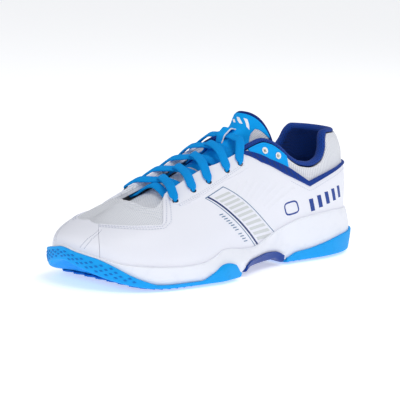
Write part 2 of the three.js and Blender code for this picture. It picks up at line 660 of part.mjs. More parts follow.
function lace() {
  const route = laceRoute();
  const curve = new THREE.CatmullRomCurve3(route.map((p) => p.at), false, "centripetal");
  const toeward = feather(0.5).sub(new THREE.Vector3(-12 * gradeX, 0, 104 * gradeZ)).normalize();
  const rings = [];
  const spans = route.length - 1;
  for (let i = 0; i < spans; i++) {
    const length = route[i].at.distanceTo(route[i + 1].at);
    const pieces = Math.max(1, Math.round(length / 7));
    for (let k = 0; k < pieces + (i === spans - 1 ? 1 : 0); k++) {
      const f = k / pieces;
      const u = (i + f) / spans;
      const along = curve.getTangent(u);
      const wide = toeward.clone().addScaledVector(along, -toeward.dot(along)).normalize();
      const thin = new THREE.Vector3().crossVectors(along, wide);
      const pinch = lerp(route[i].narrow ? 1 : 0, route[i + 1].narrow ? 1 : 0, f);
      const width = lerp(LACE_WIDTH, EYELET_HOLE_RADIUS * 1.45, pinch);
      const thickness = lerp(LACE_THICKNESS, LACE_THICKNESS * 0.85, pinch);
      rings.push(flatRing(curve.getPoint(u), wide, thin, width / 2, thickness / 2, LACE_SIDES));
    }
  }
  return sweep(rings);
}

function eyeletRing(row, lateral) {
  const { place, up } = eyeletFrame(row, lateral);
  const bore = EYELET_HOLE_RADIUS - SEAT_GAP - EYELET_WALL;
  const sleeve = EYELET_HOLE_RADIUS - SEAT_GAP;
  const seat = OVERLAY.outer + SEAT_GAP;
  const profile = [
    [bore, BASE.inner],
    [sleeve, BASE.inner],
    [sleeve, seat],
    [EYELET_FLANGE_RADIUS, seat],
    [EYELET_FLANGE_RADIUS - 0.3, seat + EYELET_FLANGE_THICKNESS],
    [bore, seat + EYELET_FLANGE_THICKNESS],
    [bore, BASE.inner],
  ].map(([r, z]) => new THREE.Vector2(r, z));
  const ring = new THREE.LatheGeometry(profile, 16);
  ring.applyQuaternion(new THREE.Quaternion().setFromUnitVectors(new THREE.Vector3(0, 1, 0), up));
  return ring.translate(place.x, place.y, place.z);
}

// ---------------------------------------------------------------- sole
const LEVEL_INSET = 12; // the sole's faces and boards are level this far in from the feather edge
const BITE = through([
  [0, 0.075], [0.058, 0.08], [0.118, 0.095], [0.162, 0.1], [0.2, 0.08], [0.224, 0.055], [0.246, 0.03],
  [0.27, 0.05], [0.31, 0.1], [0.332, 0.06], [0.35, 0.04], [0.41, 0.035], [0.442, 0.02], [0.466, 0.03],
  [0.484, 0.04], [0.5, 0.075],
]);
const FLARE_LATERAL = through([
  [0, 6.5], [0.05, 7], [0.1, 5], [0.15, 3.5], [0.2, 3], [0.25, 5.5], [0.29, 9], [0.315, 8.5],
  [0.34, 5], [0.37, 3], [0.42, 3], [0.46, 3], [0.5, 2.6],
]);
const FLARE_MEDIAL = through([
  [0, 6.5], [0.06, 6], [0.15, 3.5], [0.25, 3], [0.33, 3.4], [0.42, 3], [0.5, 2.6],
]);
const flare = (t) => (t - Math.floor(t) <= 0.5 ? FLARE_LATERAL : FLARE_MEDIAL)(sideOf(t));
// Height of the ground side of the rubber: flat under the ball and the heel, sprung at the toe.
const GROUND = through([
  [0, 1.6], [0.035, 0], [0.385, 0], [0.405, 1.3], [0.43, 4.6], [0.45, 8.3], [0.47, 12.8],
  [0.485, 16.4], [0.5, 18.2],
]);
const SHANK_RAISE = through([[0.185, 0], [0.207, 5.2], [0.262, 5.4], [0.292, 0]]);
const underside = (t) => {
  const s = sideOf(t);
  return (GROUND(s) + RUBBER_SHEET + SEAT_GAP) + SHANK_RAISE(s);
};
const WAIST = 0.45; // height at which the midsole's side turns from its flare to its wall
// The midsole's outer side: h from its underside (0) to the upper edge of its wall (1).
function soleSide(t, h, proud) {
  const foot = feather(t);
  const out = outward(t);
  const edge = shell(t, BITE(sideOf(t)), CUP_INNER + CUP_WALL);
  const reach = edge.clone().sub(foot).dot(out);
  const low = flare(t) - 1.4;
  const middle = flare(t) + 0.4;
  const below = lerp(low, middle, smooth(h, -0.3, WAIST));
  const at = h < WAIST ? below : lerp(middle, reach, smooth(h, WAIST, 1.15));
  const place = foot.clone().addScaledVector(out, (h >= 1 ? reach : at) + proud);
  place.z = lerp(underside(t), edge.z, h);
  return place;
}
const inset = (t, amount, z) => {
  const place = feather(t).addScaledVector(outward(t), -amount);
  place.z = z;
  return place;
};
const FOOTBED = -LAYER_GAP; // midsole's top, below the feather edge
const footbed = (t) => feather(t).z + FOOTBED;
// A cross section from the outer side of station t to the inner side of station 1 - t.
function crossSection(t, half) {
  const one = half(t);
  const other = half(1 - t);
  const middle = one[one.length - 1].clone().add(other[other.length - 1]).multiplyScalar(0.5);
  return [...one, middle, ...other.reverse()];
}
const sections = (list, half) => list.map((t) => crossSection(t, half));

const SIDE_STEPS = [1, 0.7, 0.4, 0.12, 0];
function midsoleBody() {
  const list = stations(0, 0.5, 0.285);
  const outer = sections(list, (t) => [
    ...SIDE_STEPS.map((h) => soleSide(t, h, 0)), inset(t, LEVEL_INSET, underside(t)),
  ]);
  const bite = (t) => BITE(sideOf(t));
  const inner = sections(list, (t) => [
    shell(t, bite(t), CUP_INNER), shell(t, bite(t) / 2, CUP_INNER), shell(t, 0, CUP_INNER),
    inset(t, -CUP_INNER + 0.6, footbed(t)), inset(t, 6, footbed(t)), inset(t, LEVEL_INSET, footbed(t)),
  ]);
  return slab(inner, outer);
}
// Rubber or plastic under the midsole, standing up its side to the share given by wrap.
function soleCover(list, thickness, wrap) {
  const face = (proud, bottom, tuck) =>
    sections(list, (t) => [
      ...SIDE_STEPS.slice(1).map((h) => soleSide(t, Math.min(h, wrap(t)), proud)),
      inset(t, tuck - flare(t), bottom(t)),
      inset(t, LEVEL_INSET, bottom(t)),
    ]);
  const inside = (t) => underside(t) - SEAT_GAP;
  const outer = face(SEAT_GAP + RUBBER_WRAP, (t) => inside(t) - thickness, 0.8);
  const inner = face(SEAT_GAP, inside, 2.4);
  return slab(inner, outer);
}
const FOREFOOT_PAD = 0.29;
const HEEL_PAD = 0.186;
const forefootWrap = through([
  [FOREFOOT_PAD, 0.1], [0.305, 0.5], [0.322, 0.62], [0.335, 0.35], [0.348, 0.06], [0.4, 0.05], [0.415, 0.2],
  [0.43, 0.42], [0.45, 0.8], [0.466, 0.96], [0.5, 0.96],
]);
const heelWrap = through([[0, 0.5], [0.08, 0.42], [0.15, 0.2], [0.172, 0.16], [HEEL_PAD, 0.05]]);
const shankWrap = through([[0.19, 0.12], [0.24, 0.3], [0.285, 0.12]]);
const SHANK_ENDS = [HEEL_PAD + 0.006, FOREFOOT_PAD - 0.014];
function outsoleForefoot() {
  return soleCover(stations(FOREFOOT_PAD, 0.5), RUBBER_SHEET, (t) => forefootWrap(sideOf(t)));
}
function outsoleHeel() {
  return soleCover(stations(0, HEEL_PAD), RUBBER_SHEET, (t) => heelWrap(sideOf(t)));
}
function shankPlate() {
  return soleCover(stations(...SHANK_ENDS), SHANK_THICKNESS, (t) => shankWrap(sideOf(t)));
}

// A board between the two sides at a given inset from the feather edge, between two heights.
function board(list, edge, low, high) {
  const rim = Math.max(edge, LEVEL_INSET) + 1;
  const half = (height) => (t) => [inset(t, edge, height(t)), inset(t, rim, height(t))];
  return slab(sections(list, half(high)), sections(list, half(low)));
}
const LINING_EDGE = -LINING.inner + LAYER_GAP;
function strobelBoard() {
  const low = (t) => footbed(t) + SEAT_GAP;
  return board(stations(0, 0.5), LINING_EDGE, low, (t) => low(t) + STROBEL_THICKNESS);
}
const insoleLow = (t) => footbed(t) + 2 * SEAT_GAP + STROBEL_THICKNESS;
function insole() {
  const atToe = (t) => smooth(sideOf(t), 0.4, 0.47);
  const edge = (t) => LINING_EDGE + 0.8 + 1.6 * atToe(t);
  const half = (rise, extra) => (t) => [
    inset(t, edge(t), insoleLow(t) + extra + rise * (1 - atToe(t))),
    inset(t, LEVEL_INSET + 1, insoleLow(t) + extra),
  ];
  const list = stations(0, 0.5);
  return slab(sections(list, half(INSOLE_RIM, INSOLE_THICKNESS)), sections(list, half(0, 0)));
}
const cushionTop = (t) => footbed(t) - 1;
function cushion(from, to, grow) {
  const list = stations(from - grow / 700, to + grow / 700);
  const low = (t) => cushionTop(t) - CUSHION_THICKNESS - grow;
  const high = (t) => cushionTop(t) + (grow ? 4 : 0);
  return board(list, CUSHION_INSET - grow, low, high);
}
const FOREFOOT_CUSHION = [0.335, 0.41];
const HEEL_CUSHION = [0.045, 0.15];
function midsole() {
  const pockets = [FOREFOOT_CUSHION, HEEL_CUSHION].map((ends) => cushion(...ends, SEAT_GAP));
  return cut(midsoleBody(), ...pockets);
}

// ---------------------------------------------------------------- the shoe
const FINISHES = {
  mesh: new THREE.MeshStandardMaterial({ color: 0xe9eaf0, roughness: 0.9 }),
  leather: new THREE.MeshStandardMaterial({ color: 0xf2f3f8, roughness: 0.5 }),
  collar: new THREE.MeshStandardMaterial({ color: 0xd8dadf, roughness: 0.95 }),
  royal: new THREE.MeshStandardMaterial({ color: 0x1c459f, roughness: 0.85 }),
  navy: new THREE.MeshStandardMaterial({ color: 0x1b2f7a, roughness: 0.7 }),
  sky: new THREE.MeshStandardMaterial({ color: 0x1aa5f0, roughness: 0.6 }),
  foam: new THREE.MeshStandardMaterial({ color: 0xf4f5f9, roughness: 0.6 }),
  plastic: new THREE.MeshStandardMaterial({ color: 0xfafafa, roughness: 0.3 }),
  board: new THREE.MeshStandardMaterial({ color: 0xcfd0d4, roughness: 0.9 }),
  dark: new THREE.MeshStandardMaterial({ color: 0x22262e, roughness: 0.9 }),
};
const pieces = [
  ["outsole_forefoot", outsoleForefoot, "sky"],
  ["outsole_heel", outsoleHeel, "sky"],
  ["shank_plate", shankPlate, "royal"],
  ["midsole", midsole, "foam"],
  ["forefoot_cushion", () => cushion(...FOREFOOT_CUSHION, 0), "sky"],
  ["heel_cushion", () => cushion(...HEEL_CUSHION, 0), "sky"],
  ["strobel_board", strobelBoard, "board"],
  ["insole", insole, "dark"],
  ["vamp_mesh", () => vampLayer(BASE), "mesh"],
  ["quarter_mesh", () => quarterLayer(BASE), "collar"],
  ["vamp_lining", vampLining, "mesh"],
  ["collar_lining", collarLining, "royal"],
  ["collar_foam", collarFoam, "foam"],
  ["collar_binding", collarRoll, "navy"],
  ["heel_counter", heelCounter, "board"],
  ["toe_puff", toePuff, "board"],
  ["toe_overlay", toeOverlay, "leather"],
  ["quarter_lateral", () => overlaySide(true), "leather"],
  ["quarter_medial", () => overlaySide(false), "leather"],
  ["eyestay_lateral", () => eyestay(true), "leather"],
  ["eyestay_medial", () => eyestay(false), "leather"],
  ["lace_tab_lateral", () => laceTab(true), "sky"],
  ["lace_tab_medial", () => laceTab(false), "sky"],
  ["trim_band_lateral", () => trimBand(true), "royal"],
  ["trim_band_medial", () => trimBand(false), "royal"],
  ["tongue_lower", tongueLower, "mesh"],
  ["tongue_upper", tongueUpper, "sky"],
  ["tongue_binding", tongueBinding, "navy"],
  ["lace_keeper", laceKeeper, "sky"],
  ["lace", lace, "sky"],
];
for (const [side, lateral] of [["lateral", true], ["medial", false]])
  for (const row of [5, 6])
    pieces.push([`eyelet_${side}_${row + 1}`, () => eyeletRing(row, lateral), "plastic"]);

const shoe = new THREE.Group();
for (const [name, make, finish] of pieces) {
  const mesh = new THREE.Mesh(make(), FINISHES[finish]);
  mesh.name = name;
  shoe.add(mesh);
}
const box = new THREE.Box3().setFromObject(shoe);
shoe.position.set(-(box.min.x + box.max.x) / 2, -(box.min.y + box.max.y) / 2, -box.min.z);

export default shoe;
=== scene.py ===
"""Court shoe for the left foot: the looks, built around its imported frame.

Every piece is drawn on one form, the last, with the same tables as the frame. Lengths are in
millimetres until a mesh is made, where they become metres in the frame's own axes: +X towards the
toe, +Y towards the outer side, +Z up.
"""
import json
import logging
import math
from dataclasses import dataclass, field
from enum import Enum
from typing import Callable, Iterable, Optional, Sequence, Union

import bmesh
import bpy
import numpy as np
from mathutils import Matrix, Vector


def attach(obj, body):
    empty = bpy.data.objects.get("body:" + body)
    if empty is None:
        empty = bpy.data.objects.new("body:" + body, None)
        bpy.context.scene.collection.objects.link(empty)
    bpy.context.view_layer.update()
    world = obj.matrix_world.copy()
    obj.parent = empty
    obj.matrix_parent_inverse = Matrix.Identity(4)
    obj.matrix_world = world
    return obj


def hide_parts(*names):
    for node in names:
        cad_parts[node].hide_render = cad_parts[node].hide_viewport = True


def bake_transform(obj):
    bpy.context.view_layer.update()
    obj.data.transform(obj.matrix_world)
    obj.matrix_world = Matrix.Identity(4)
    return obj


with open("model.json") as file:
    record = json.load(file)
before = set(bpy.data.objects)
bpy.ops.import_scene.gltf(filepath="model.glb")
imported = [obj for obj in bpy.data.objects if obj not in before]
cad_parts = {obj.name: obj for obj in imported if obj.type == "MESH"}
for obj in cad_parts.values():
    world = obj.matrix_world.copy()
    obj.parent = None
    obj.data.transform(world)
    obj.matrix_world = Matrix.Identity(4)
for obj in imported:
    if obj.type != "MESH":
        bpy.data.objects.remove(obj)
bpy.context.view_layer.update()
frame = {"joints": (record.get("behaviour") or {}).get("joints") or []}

LOG = logging.getLogger("court_shoe")
Array = np.ndarray
Amount = Union[float, Callable[..., Array]]
Spot = tuple[float, float]
Section = Callable[[Array], Array]
Relief = Callable[[Array, Array, Array], Array]
MM = 0.001
CENTRE = np.array([2.82, -2.427, 0.0])  # where the tables' own origin lies in the frame
ROUND_ABOUT = 640.0  # length of the feather edge, once round
FAR = 1e9
WALL_HEIGHT = 130.0  # length of the last's wall from the feather edge to the ridge


# ------------------------------------------------------------------- curves and the last
def smooth(x: Array, low: float, high: float) -> Array:
    """Rises smoothly from 0 at low to 1 at high.

    Args:
        x: Where it is read.
        low: Where it starts to rise.
        high: Where it reaches 1. It may be less than low.

    Returns:
        The value at each x.
    """
    f = np.clip((np.asarray(x, float) - low) / (high - low), 0, 1)
    return f * f * (3 - 2 * f)


def unit(vectors: Array) -> Array:
    """Each vector at length 1."""
    return vectors / np.maximum(np.linalg.norm(vectors, axis=-1, keepdims=True), 1e-12)


def mix(a: Array, b: Array, share: Array) -> Array:
    """The place a share of the way from a to b."""
    return a + (b - a) * share


def bent(start: Array, end: Array, leave: Array, arrive: Array, f: Array, reach: Array) -> Array:
    """A place on a cubic from start to end, with a slope at each end.

    Args:
        start: Where it starts.
        end: Where it ends.
        leave: Slope at the start.
        arrive: Slope at the end.
        f: Share of the way.
        reach: Length of the way that the slopes are given for.

    Returns:
        The place.
    """
    g = 1 - f
    ends = g * g * (1 + 2 * f) * start + f * f * (1 + 2 * g) * end
    return ends + reach * f * g * (g * leave - f * arrive)


def edge_drop(away: Array, radius: float) -> Array:
    """How far a rounded edge lies below its face, at each distance from the edge."""
    return radius - np.sqrt(np.maximum(radius**2 - (radius - away) ** 2, 0))


def run_along(points: Array) -> Array:
    """Length along a line, from its first point to each of its points."""
    return np.concatenate([[0], np.cumsum(np.linalg.norm(np.diff(points, axis=0), axis=1))])


def once_round(count: int) -> Array:
    """Even angles once round."""
    return np.linspace(0, 2 * math.pi, count + 1)[:-1]


def cells_of(ids: Array) -> Array:
    """The four corners of each cell of a grid of corner numbers."""
    return np.stack([ids[:-1, :-1], ids[1:, :-1], ids[1:, 1:], ids[:-1, 1:]], -1)


class Curve:
    """A smooth curve through points that never overshoots them, level beyond both ends."""

    def __init__(self, *points: Spot) -> None:
        """Args:
            points: (place, value) pairs in rising order.
        """
        self.x, self.y = np.array(points, float).T
        slope = np.diff(self.y) / np.diff(self.x)
        before, after = slope[:-1], slope[1:]
        total = np.where(before + after == 0, 1, before + after)
        inner = np.where(before * after > 0, 2 * before * after / total, 0)
        self.turn = np.concatenate([[0], inner, [0]])

    def __call__(self, t: Array) -> Array:
        """The curve's value at each t."""
        t = np.clip(np.asarray(t, float), self.x[0], self.x[-1])
        i = np.clip(np.searchsorted(self.x, t, "right") - 1, 0, len(self.x) - 2)
        h = self.x[i + 1] - self.x[i]
        f = (t - self.x[i]) / h
        return bent(self.y[i], self.y[i + 1], self.turn[i], self.turn[i + 1], f, h)


class Corners:
    """Straight runs between points."""

    def __init__(self, *points: Spot) -> None:
        """Args:
            points: (place, value) pairs in rising order.
        """
        self.x, self.y = np.array(points, float).T

    def __call__(self, t: Array) -> Array:
        """The value at each t."""
        return np.interp(t, self.x, self.y)


def side_of(t: Array) -> Array:
    """How far round a station is, from the heel's centre (0) to the toe's tip (0.5)."""
    t = np.asarray(t, float)
    return 0.5 - np.abs(t - np.floor(t) - 0.5)


def is_medial(t: Array) -> Array:
    """True on the inner side."""
    t = np.asarray(t, float)
    return t - np.floor(t) > 0.5


class Last:
    """The form of the foot. t goes round from the heel along the outer side to the toe (0.5) and
    back along the inner side, and v goes up from the feather edge (0) to the ridge (1)."""

    # feather edge x, y, z; ridge x, y, z; wall handle out, up; roof handle out, drop
    LATERAL = (
        (-140, 0, 27, -96, 0, 120, 4, 40, 38, 0),
        (-132, 20, 27, -93, 0, 120, 4, 42, 36, 0),
        (-108, 31.5, 26, -82, 0, 120, 3, 45, 31, 0),
        (-76, 33, 23, -62, 0, 119, 3, 46, 30, -1),
        (-42, 32, 19, -38, 0, 114, 5, 46, 28, -2),
        (-8, 36, 16, -12, -1, 104, 6, 42, 26, -2),
        (26, 43.5, 14, 18, -3, 89, 5, 34, 25, -1),
        (60, 47.5, 13.5, 50, -5, 73, 4, 28, 27, 1),
        (94, 42, 15.5, 80, -7, 60.5, 3, 23, 28, 4.5),
        (122, 24, 21, 100, -9, 52.5, 2.5, 18, 23, 8),
        (138, -9, 27, 108, -9.5, 49, 2, 13, 19, 9),
    )
    MEDIAL = (
        (128, -34, 21.5, 100, -9, 52.5, 2.5, 18, 23, 8),
        (104, -45, 15.5, 80, -7, 60.5, 3, 23, 26, 4.5),
        (70, -46, 13.5, 50, -5, 73, 4, 28, 24, 1),
        (34, -40.5, 14, 18, -3, 89, 5, 34, 22, -1),
        (-2, -32, 17, -12, -1, 104, 6, 42, 23, -2),
        (-38, -28.5, 20.5, -38, 0, 114, 5, 46, 26, -2),
        (-74, -30, 24, -62, 0, 119, 3, 46, 30, -1),
        (-107, -30, 26, -82, 0, 120, 3, 45, 31, 0),
        (-132, -19.5, 27, -93, 0, 120, 4, 42, 36, 0),
    )
    STEP = 1e-4

    def __init__(self) -> None:
        """Solves the closed spline through the stations."""
        self.rows = np.array(self.LATERAL + self.MEDIAL, float)
        n = len(self.rows)
        system = 4 * np.eye(n) + np.roll(np.eye(n), 1, 0) + np.roll(np.eye(n), -1, 0)
        sag = np.roll(self.rows, 1, 0) - 2 * self.rows + np.roll(self.rows, -1, 0)
        self.bend = np.linalg.solve(system, 6 * sag)

    def columns(self, t: Array) -> Array:
        """The ten numbers of the table at each station."""
        n = len(self.rows)
        place = np.mod(np.asarray(t, float), 1) * n
        i = np.floor(place).astype(int) % n
        f = (place - np.floor(place))[..., None]
        g = 1 - f
        j = (i + 1) % n
        sag = (g**3 - g) * self.bend[i] + (f**3 - f) * self.bend[j]
        return g * self.rows[i] + f * self.rows[j] + sag / 6

    def feather(self, t: Array) -> Array:
        """Place on the feather edge."""
        return self.columns(t)[..., :3]

    def outward(self, t: Array) -> Array:
        """Outward direction in plan."""
        t = np.asarray(t, float)
        along = self.columns(t + self.STEP)[..., :2] - self.columns(t - self.STEP)[..., :2]
        flat = np.stack([-along[..., 1], along[..., 0], np.zeros(along.shape[:-1])], -1)
        return unit(flat)

    def point(self, t: Array, v: Array) -> Array:
        """Place on the last's surface."""
        t, v = np.broadcast_arrays(np.asarray(t, float), np.asarray(v, float))
        row = self.columns(t)
        out = self.outward(t)
        foot, ridge = row[..., 0:3], row[..., 3:6]
        up = np.array([0.0, 0.0, 1.0])
        low = foot + out * row[..., 6:7] + up * row[..., 7:8]
        high = ridge + out * row[..., 8:9] - up * row[..., 9:10]
        v = v[..., None]
        w = 1 - v
        return foot * w**3 + 3 * low * w * w * v + 3 * high * w * v * v + ridge * v**3

    def _side_normal(self, t: Array, v: Array) -> Array:
        """Normal, read just short of the ridge, where the surface folds."""
        v = np.clip(v, 1e-3, 0.985)
        up = self.point(t, v + 1e-3) - self.point(t, v - 1e-3)
        along = self.point(t + self.STEP, v) - self.point(t - self.STEP, v)
        return unit(np.cross(up, along))

    def normal(self, t: Array, v: Array) -> Array:
        """Outward normal, rounded over the ridge."""
        t, v = np.broadcast_arrays(np.asarray(t, float), np.asarray(v, float))
        near = smooth(v, 0.9, 1)[..., None]
        own = self._side_normal(t, v)
        return unit(own + (self._side_normal(1 - t, v) - own) * near * near / 2)

    def shell(self, t: Array, v: Array, offset: Array) -> Array:
        """Place at an offset from the surface."""
        offset = np.asarray(offset, float)[..., None]
        return self.point(t, v) + self.normal(t, v) * offset


LAST = Last()


# ------------------------------------------------------------------- the upper's pattern
@dataclass(frozen=True)
class Depth:
    """The faces of one layer, as offsets from the last."""

    inner: float
    outer: float


BASE = Depth(-1.2, 0.0)
OVERLAY = Depth(0.1, 1.3)
TRIM = Depth(1.35, 2.1)
LINING = Depth(-3.8, -3.0)
FOAM = 3.2  # how much deeper the lining lies where the collar is padded
CUP_INNER = 1.35
CUP_WALL = 2.0


LACED_ROWS = (0, 1, 2, 3, 4)
TAB_ROWS = (5, 6)
PUNCHED = 2.3  # radius of a punched hole
WING = 0.3285  # where the vamp meets the quarter


def side_name(lateral: bool) -> str:
    """A side's name: lateral is the outer side."""
    return "lateral" if lateral else "medial"


def to_side(lateral: bool) -> Callable[[Array], Array]:
    """Turns a station of the outer side into the same one on either side."""
    return (lambda t: t) if lateral else (lambda t: 1 - t)


def feather_line(t: Array) -> Array:
    """The feather edge, as a layer's lower edge."""
    return np.zeros_like(t)


class Pattern:
    """The edges of the upper's pieces over the last, each a curve v(t)."""

    TOP_EDGE = Curve(
        (0, 0.62), (0.078, 0.62), (0.09, 0.58), (0.102, 0.49), (0.118, 0.42), (0.136, 0.4),
        (0.156, 0.42), (0.172, 0.47), (0.186, 0.545), (0.204, 0.63), (0.222, 0.68), (0.24, 0.69),
        (0.266, 0.7), (0.294, 0.725), (0.316, 0.77), (0.338, 0.78), (0.366, 0.77), (0.375, 0.72),
        (0.385, 0.69), (0.394, 0.75), (0.402, 0.88), (0.412, 1),
    )
    THROAT_BASE = 0.412
    BAND_VERTEX = 0.147
    BAND_FRONT = 0.2565
    BAND_HIGH = Corners(
        (0, 0.39), (0.066, 0.372), (BAND_VERTEX, 0.303), (0.18, 0.42), (0.214, 0.52),
        (BAND_FRONT, 0.69),
    )
    BAND_LOW = Corners(
        (0, 0.366), (0.066, 0.346), (BAND_VERTEX, 0.262), (0.19, 0.38), (0.232, 0.52),
        (BAND_FRONT, 0.645),
    )
    EYESTAY_FRONT = 0.366
    TOE_SEAM = 0.462
    WINDOW = Curve(
        (EYESTAY_FRONT, 0.765), (0.372, 0.72), (0.38, 0.6), (0.388, 0.475), (0.4, 0.505),
        (0.422, 0.56), (0.446, 0.64), (TOE_SEAM, 0.69),
    )
    TOE_CAP = Curve((TOE_SEAM, 0.69), (0.48, 0.77), (0.5, 0.84))
    TAB_REAR = 0.182
    TAB_FRONT = 0.246
    # Eyelet rows, from the toe end back: place along the last and height up it.
    EYELETS = (
        (0.362, 0.64), (0.338, 0.64), (0.316, 0.63), (0.288, 0.62), (0.267, 0.605), (0.22, 0.59),
        (0.197, 0.515),
    )

    @classmethod
    def top_edge(cls, t: Array) -> Array:
        """Upper edge of the upper, on either side."""
        s = side_of(t)
        lift = 0.02 * smooth(s, 0.24, 0.3) * (1 - smooth(s, 0.375, 0.4))
        shift = 0.014 * smooth(s, 0.03, 0.07) * (1 - smooth(s, 0.12, 0.15))
        return np.where(is_medial(t), cls.TOP_EDGE(s + shift) + lift, cls.TOP_EDGE(s))

    @classmethod
    def layer_top(cls, t: Array) -> Array:
        """Where the layers end, below the collar's roll."""
        s = side_of(t)
        ends = cls.top_edge(t) - 0.02 * (1 - smooth(s, 0.262, 0.285))
        return np.where(s >= cls.THROAT_BASE, 1.0, ends)

    @classmethod
    def band_middle(cls, t: Array) -> Array:
        """Middle of the trim band."""
        s = side_of(t)
        return (cls.BAND_HIGH(s) + cls.BAND_LOW(s)) / 2

    @classmethod
    def overlay_top(cls, t: Array) -> Array:
        """Upper edge of the leather overlay: trim line, eyestay, then round the vamp's window."""
        s = side_of(t)
        ahead = np.where(s < cls.EYESTAY_FRONT, cls.top_edge(t) - 0.004, cls.WINDOW(s))
        return np.where(s <= cls.BAND_FRONT, cls.band_middle(t), ahead)

    @classmethod
    def eyelet(cls, row: int, lateral: bool) -> dict[str, Array]:
        """Place and directions of one eyelet.

        Args:
            row: Row, from the toe end.
            lateral: True for the outer side.

        Returns:
            place, and the directions up (out of the last), across (to the throat) and along.
        """
        s, height = cls.EYELETS[row]
        t = s if lateral else 1 - s
        v = float(height + cls.top_edge(t) - cls.TOP_EDGE(s))
        place = LAST.shell(t, v, 0.0)
        up = LAST.normal(t, v)
        across = LAST.shell(t, v + 0.02, 0.0) - place
        across = unit(across - up * (across @ up))
        along = unit(np.cross(across, up)) * (-1 if lateral else 1)
        return {"place": place, "up": up, "across": across, "along": along}


# --------------------------------------------------------------------- meshes from grids
@dataclass
class Hole:
    """A round hole through a layer."""

    centre: Array
    axis: Array
    radius: float
    REACH = 9.0  # how far along its axis a hole cuts

    def off_axis(self, points: Array) -> tuple[Array, Array]:
        """Each point's vector from the axis, and its length where the point is near the hole."""
        away = points - self.centre
        rise = away @ self.axis
        flat = away - rise[..., None] * self.axis
        size = np.linalg.norm(flat, axis=-1)
        return flat, np.where(np.abs(rise) < self.REACH, size, FAR)


def metres(points: Array) -> list[list[float]]:
    """The tables' points, in millimetres, as places in the frame."""
    return ((points + CENTRE) * MM).tolist()


def add_object(name: str, data: bpy.types.ID) -> bpy.types.Object:
    """Puts a new object with its data into the scene."""
    obj = bpy.data.objects.new(name, data)
    bpy.context.scene.collection.objects.link(obj)
    return obj


def add_mesh(name: str, points: Sequence[Sequence[float]], edges: Sequence[Sequence[int]],
             faces: Sequence[Sequence[int]]) -> bpy.types.Object:
    """Puts a new mesh into the scene, from points in metres."""
    mesh = bpy.data.meshes.new(name)
    mesh.from_pydata(points, edges, faces)
    return add_object(name, mesh)


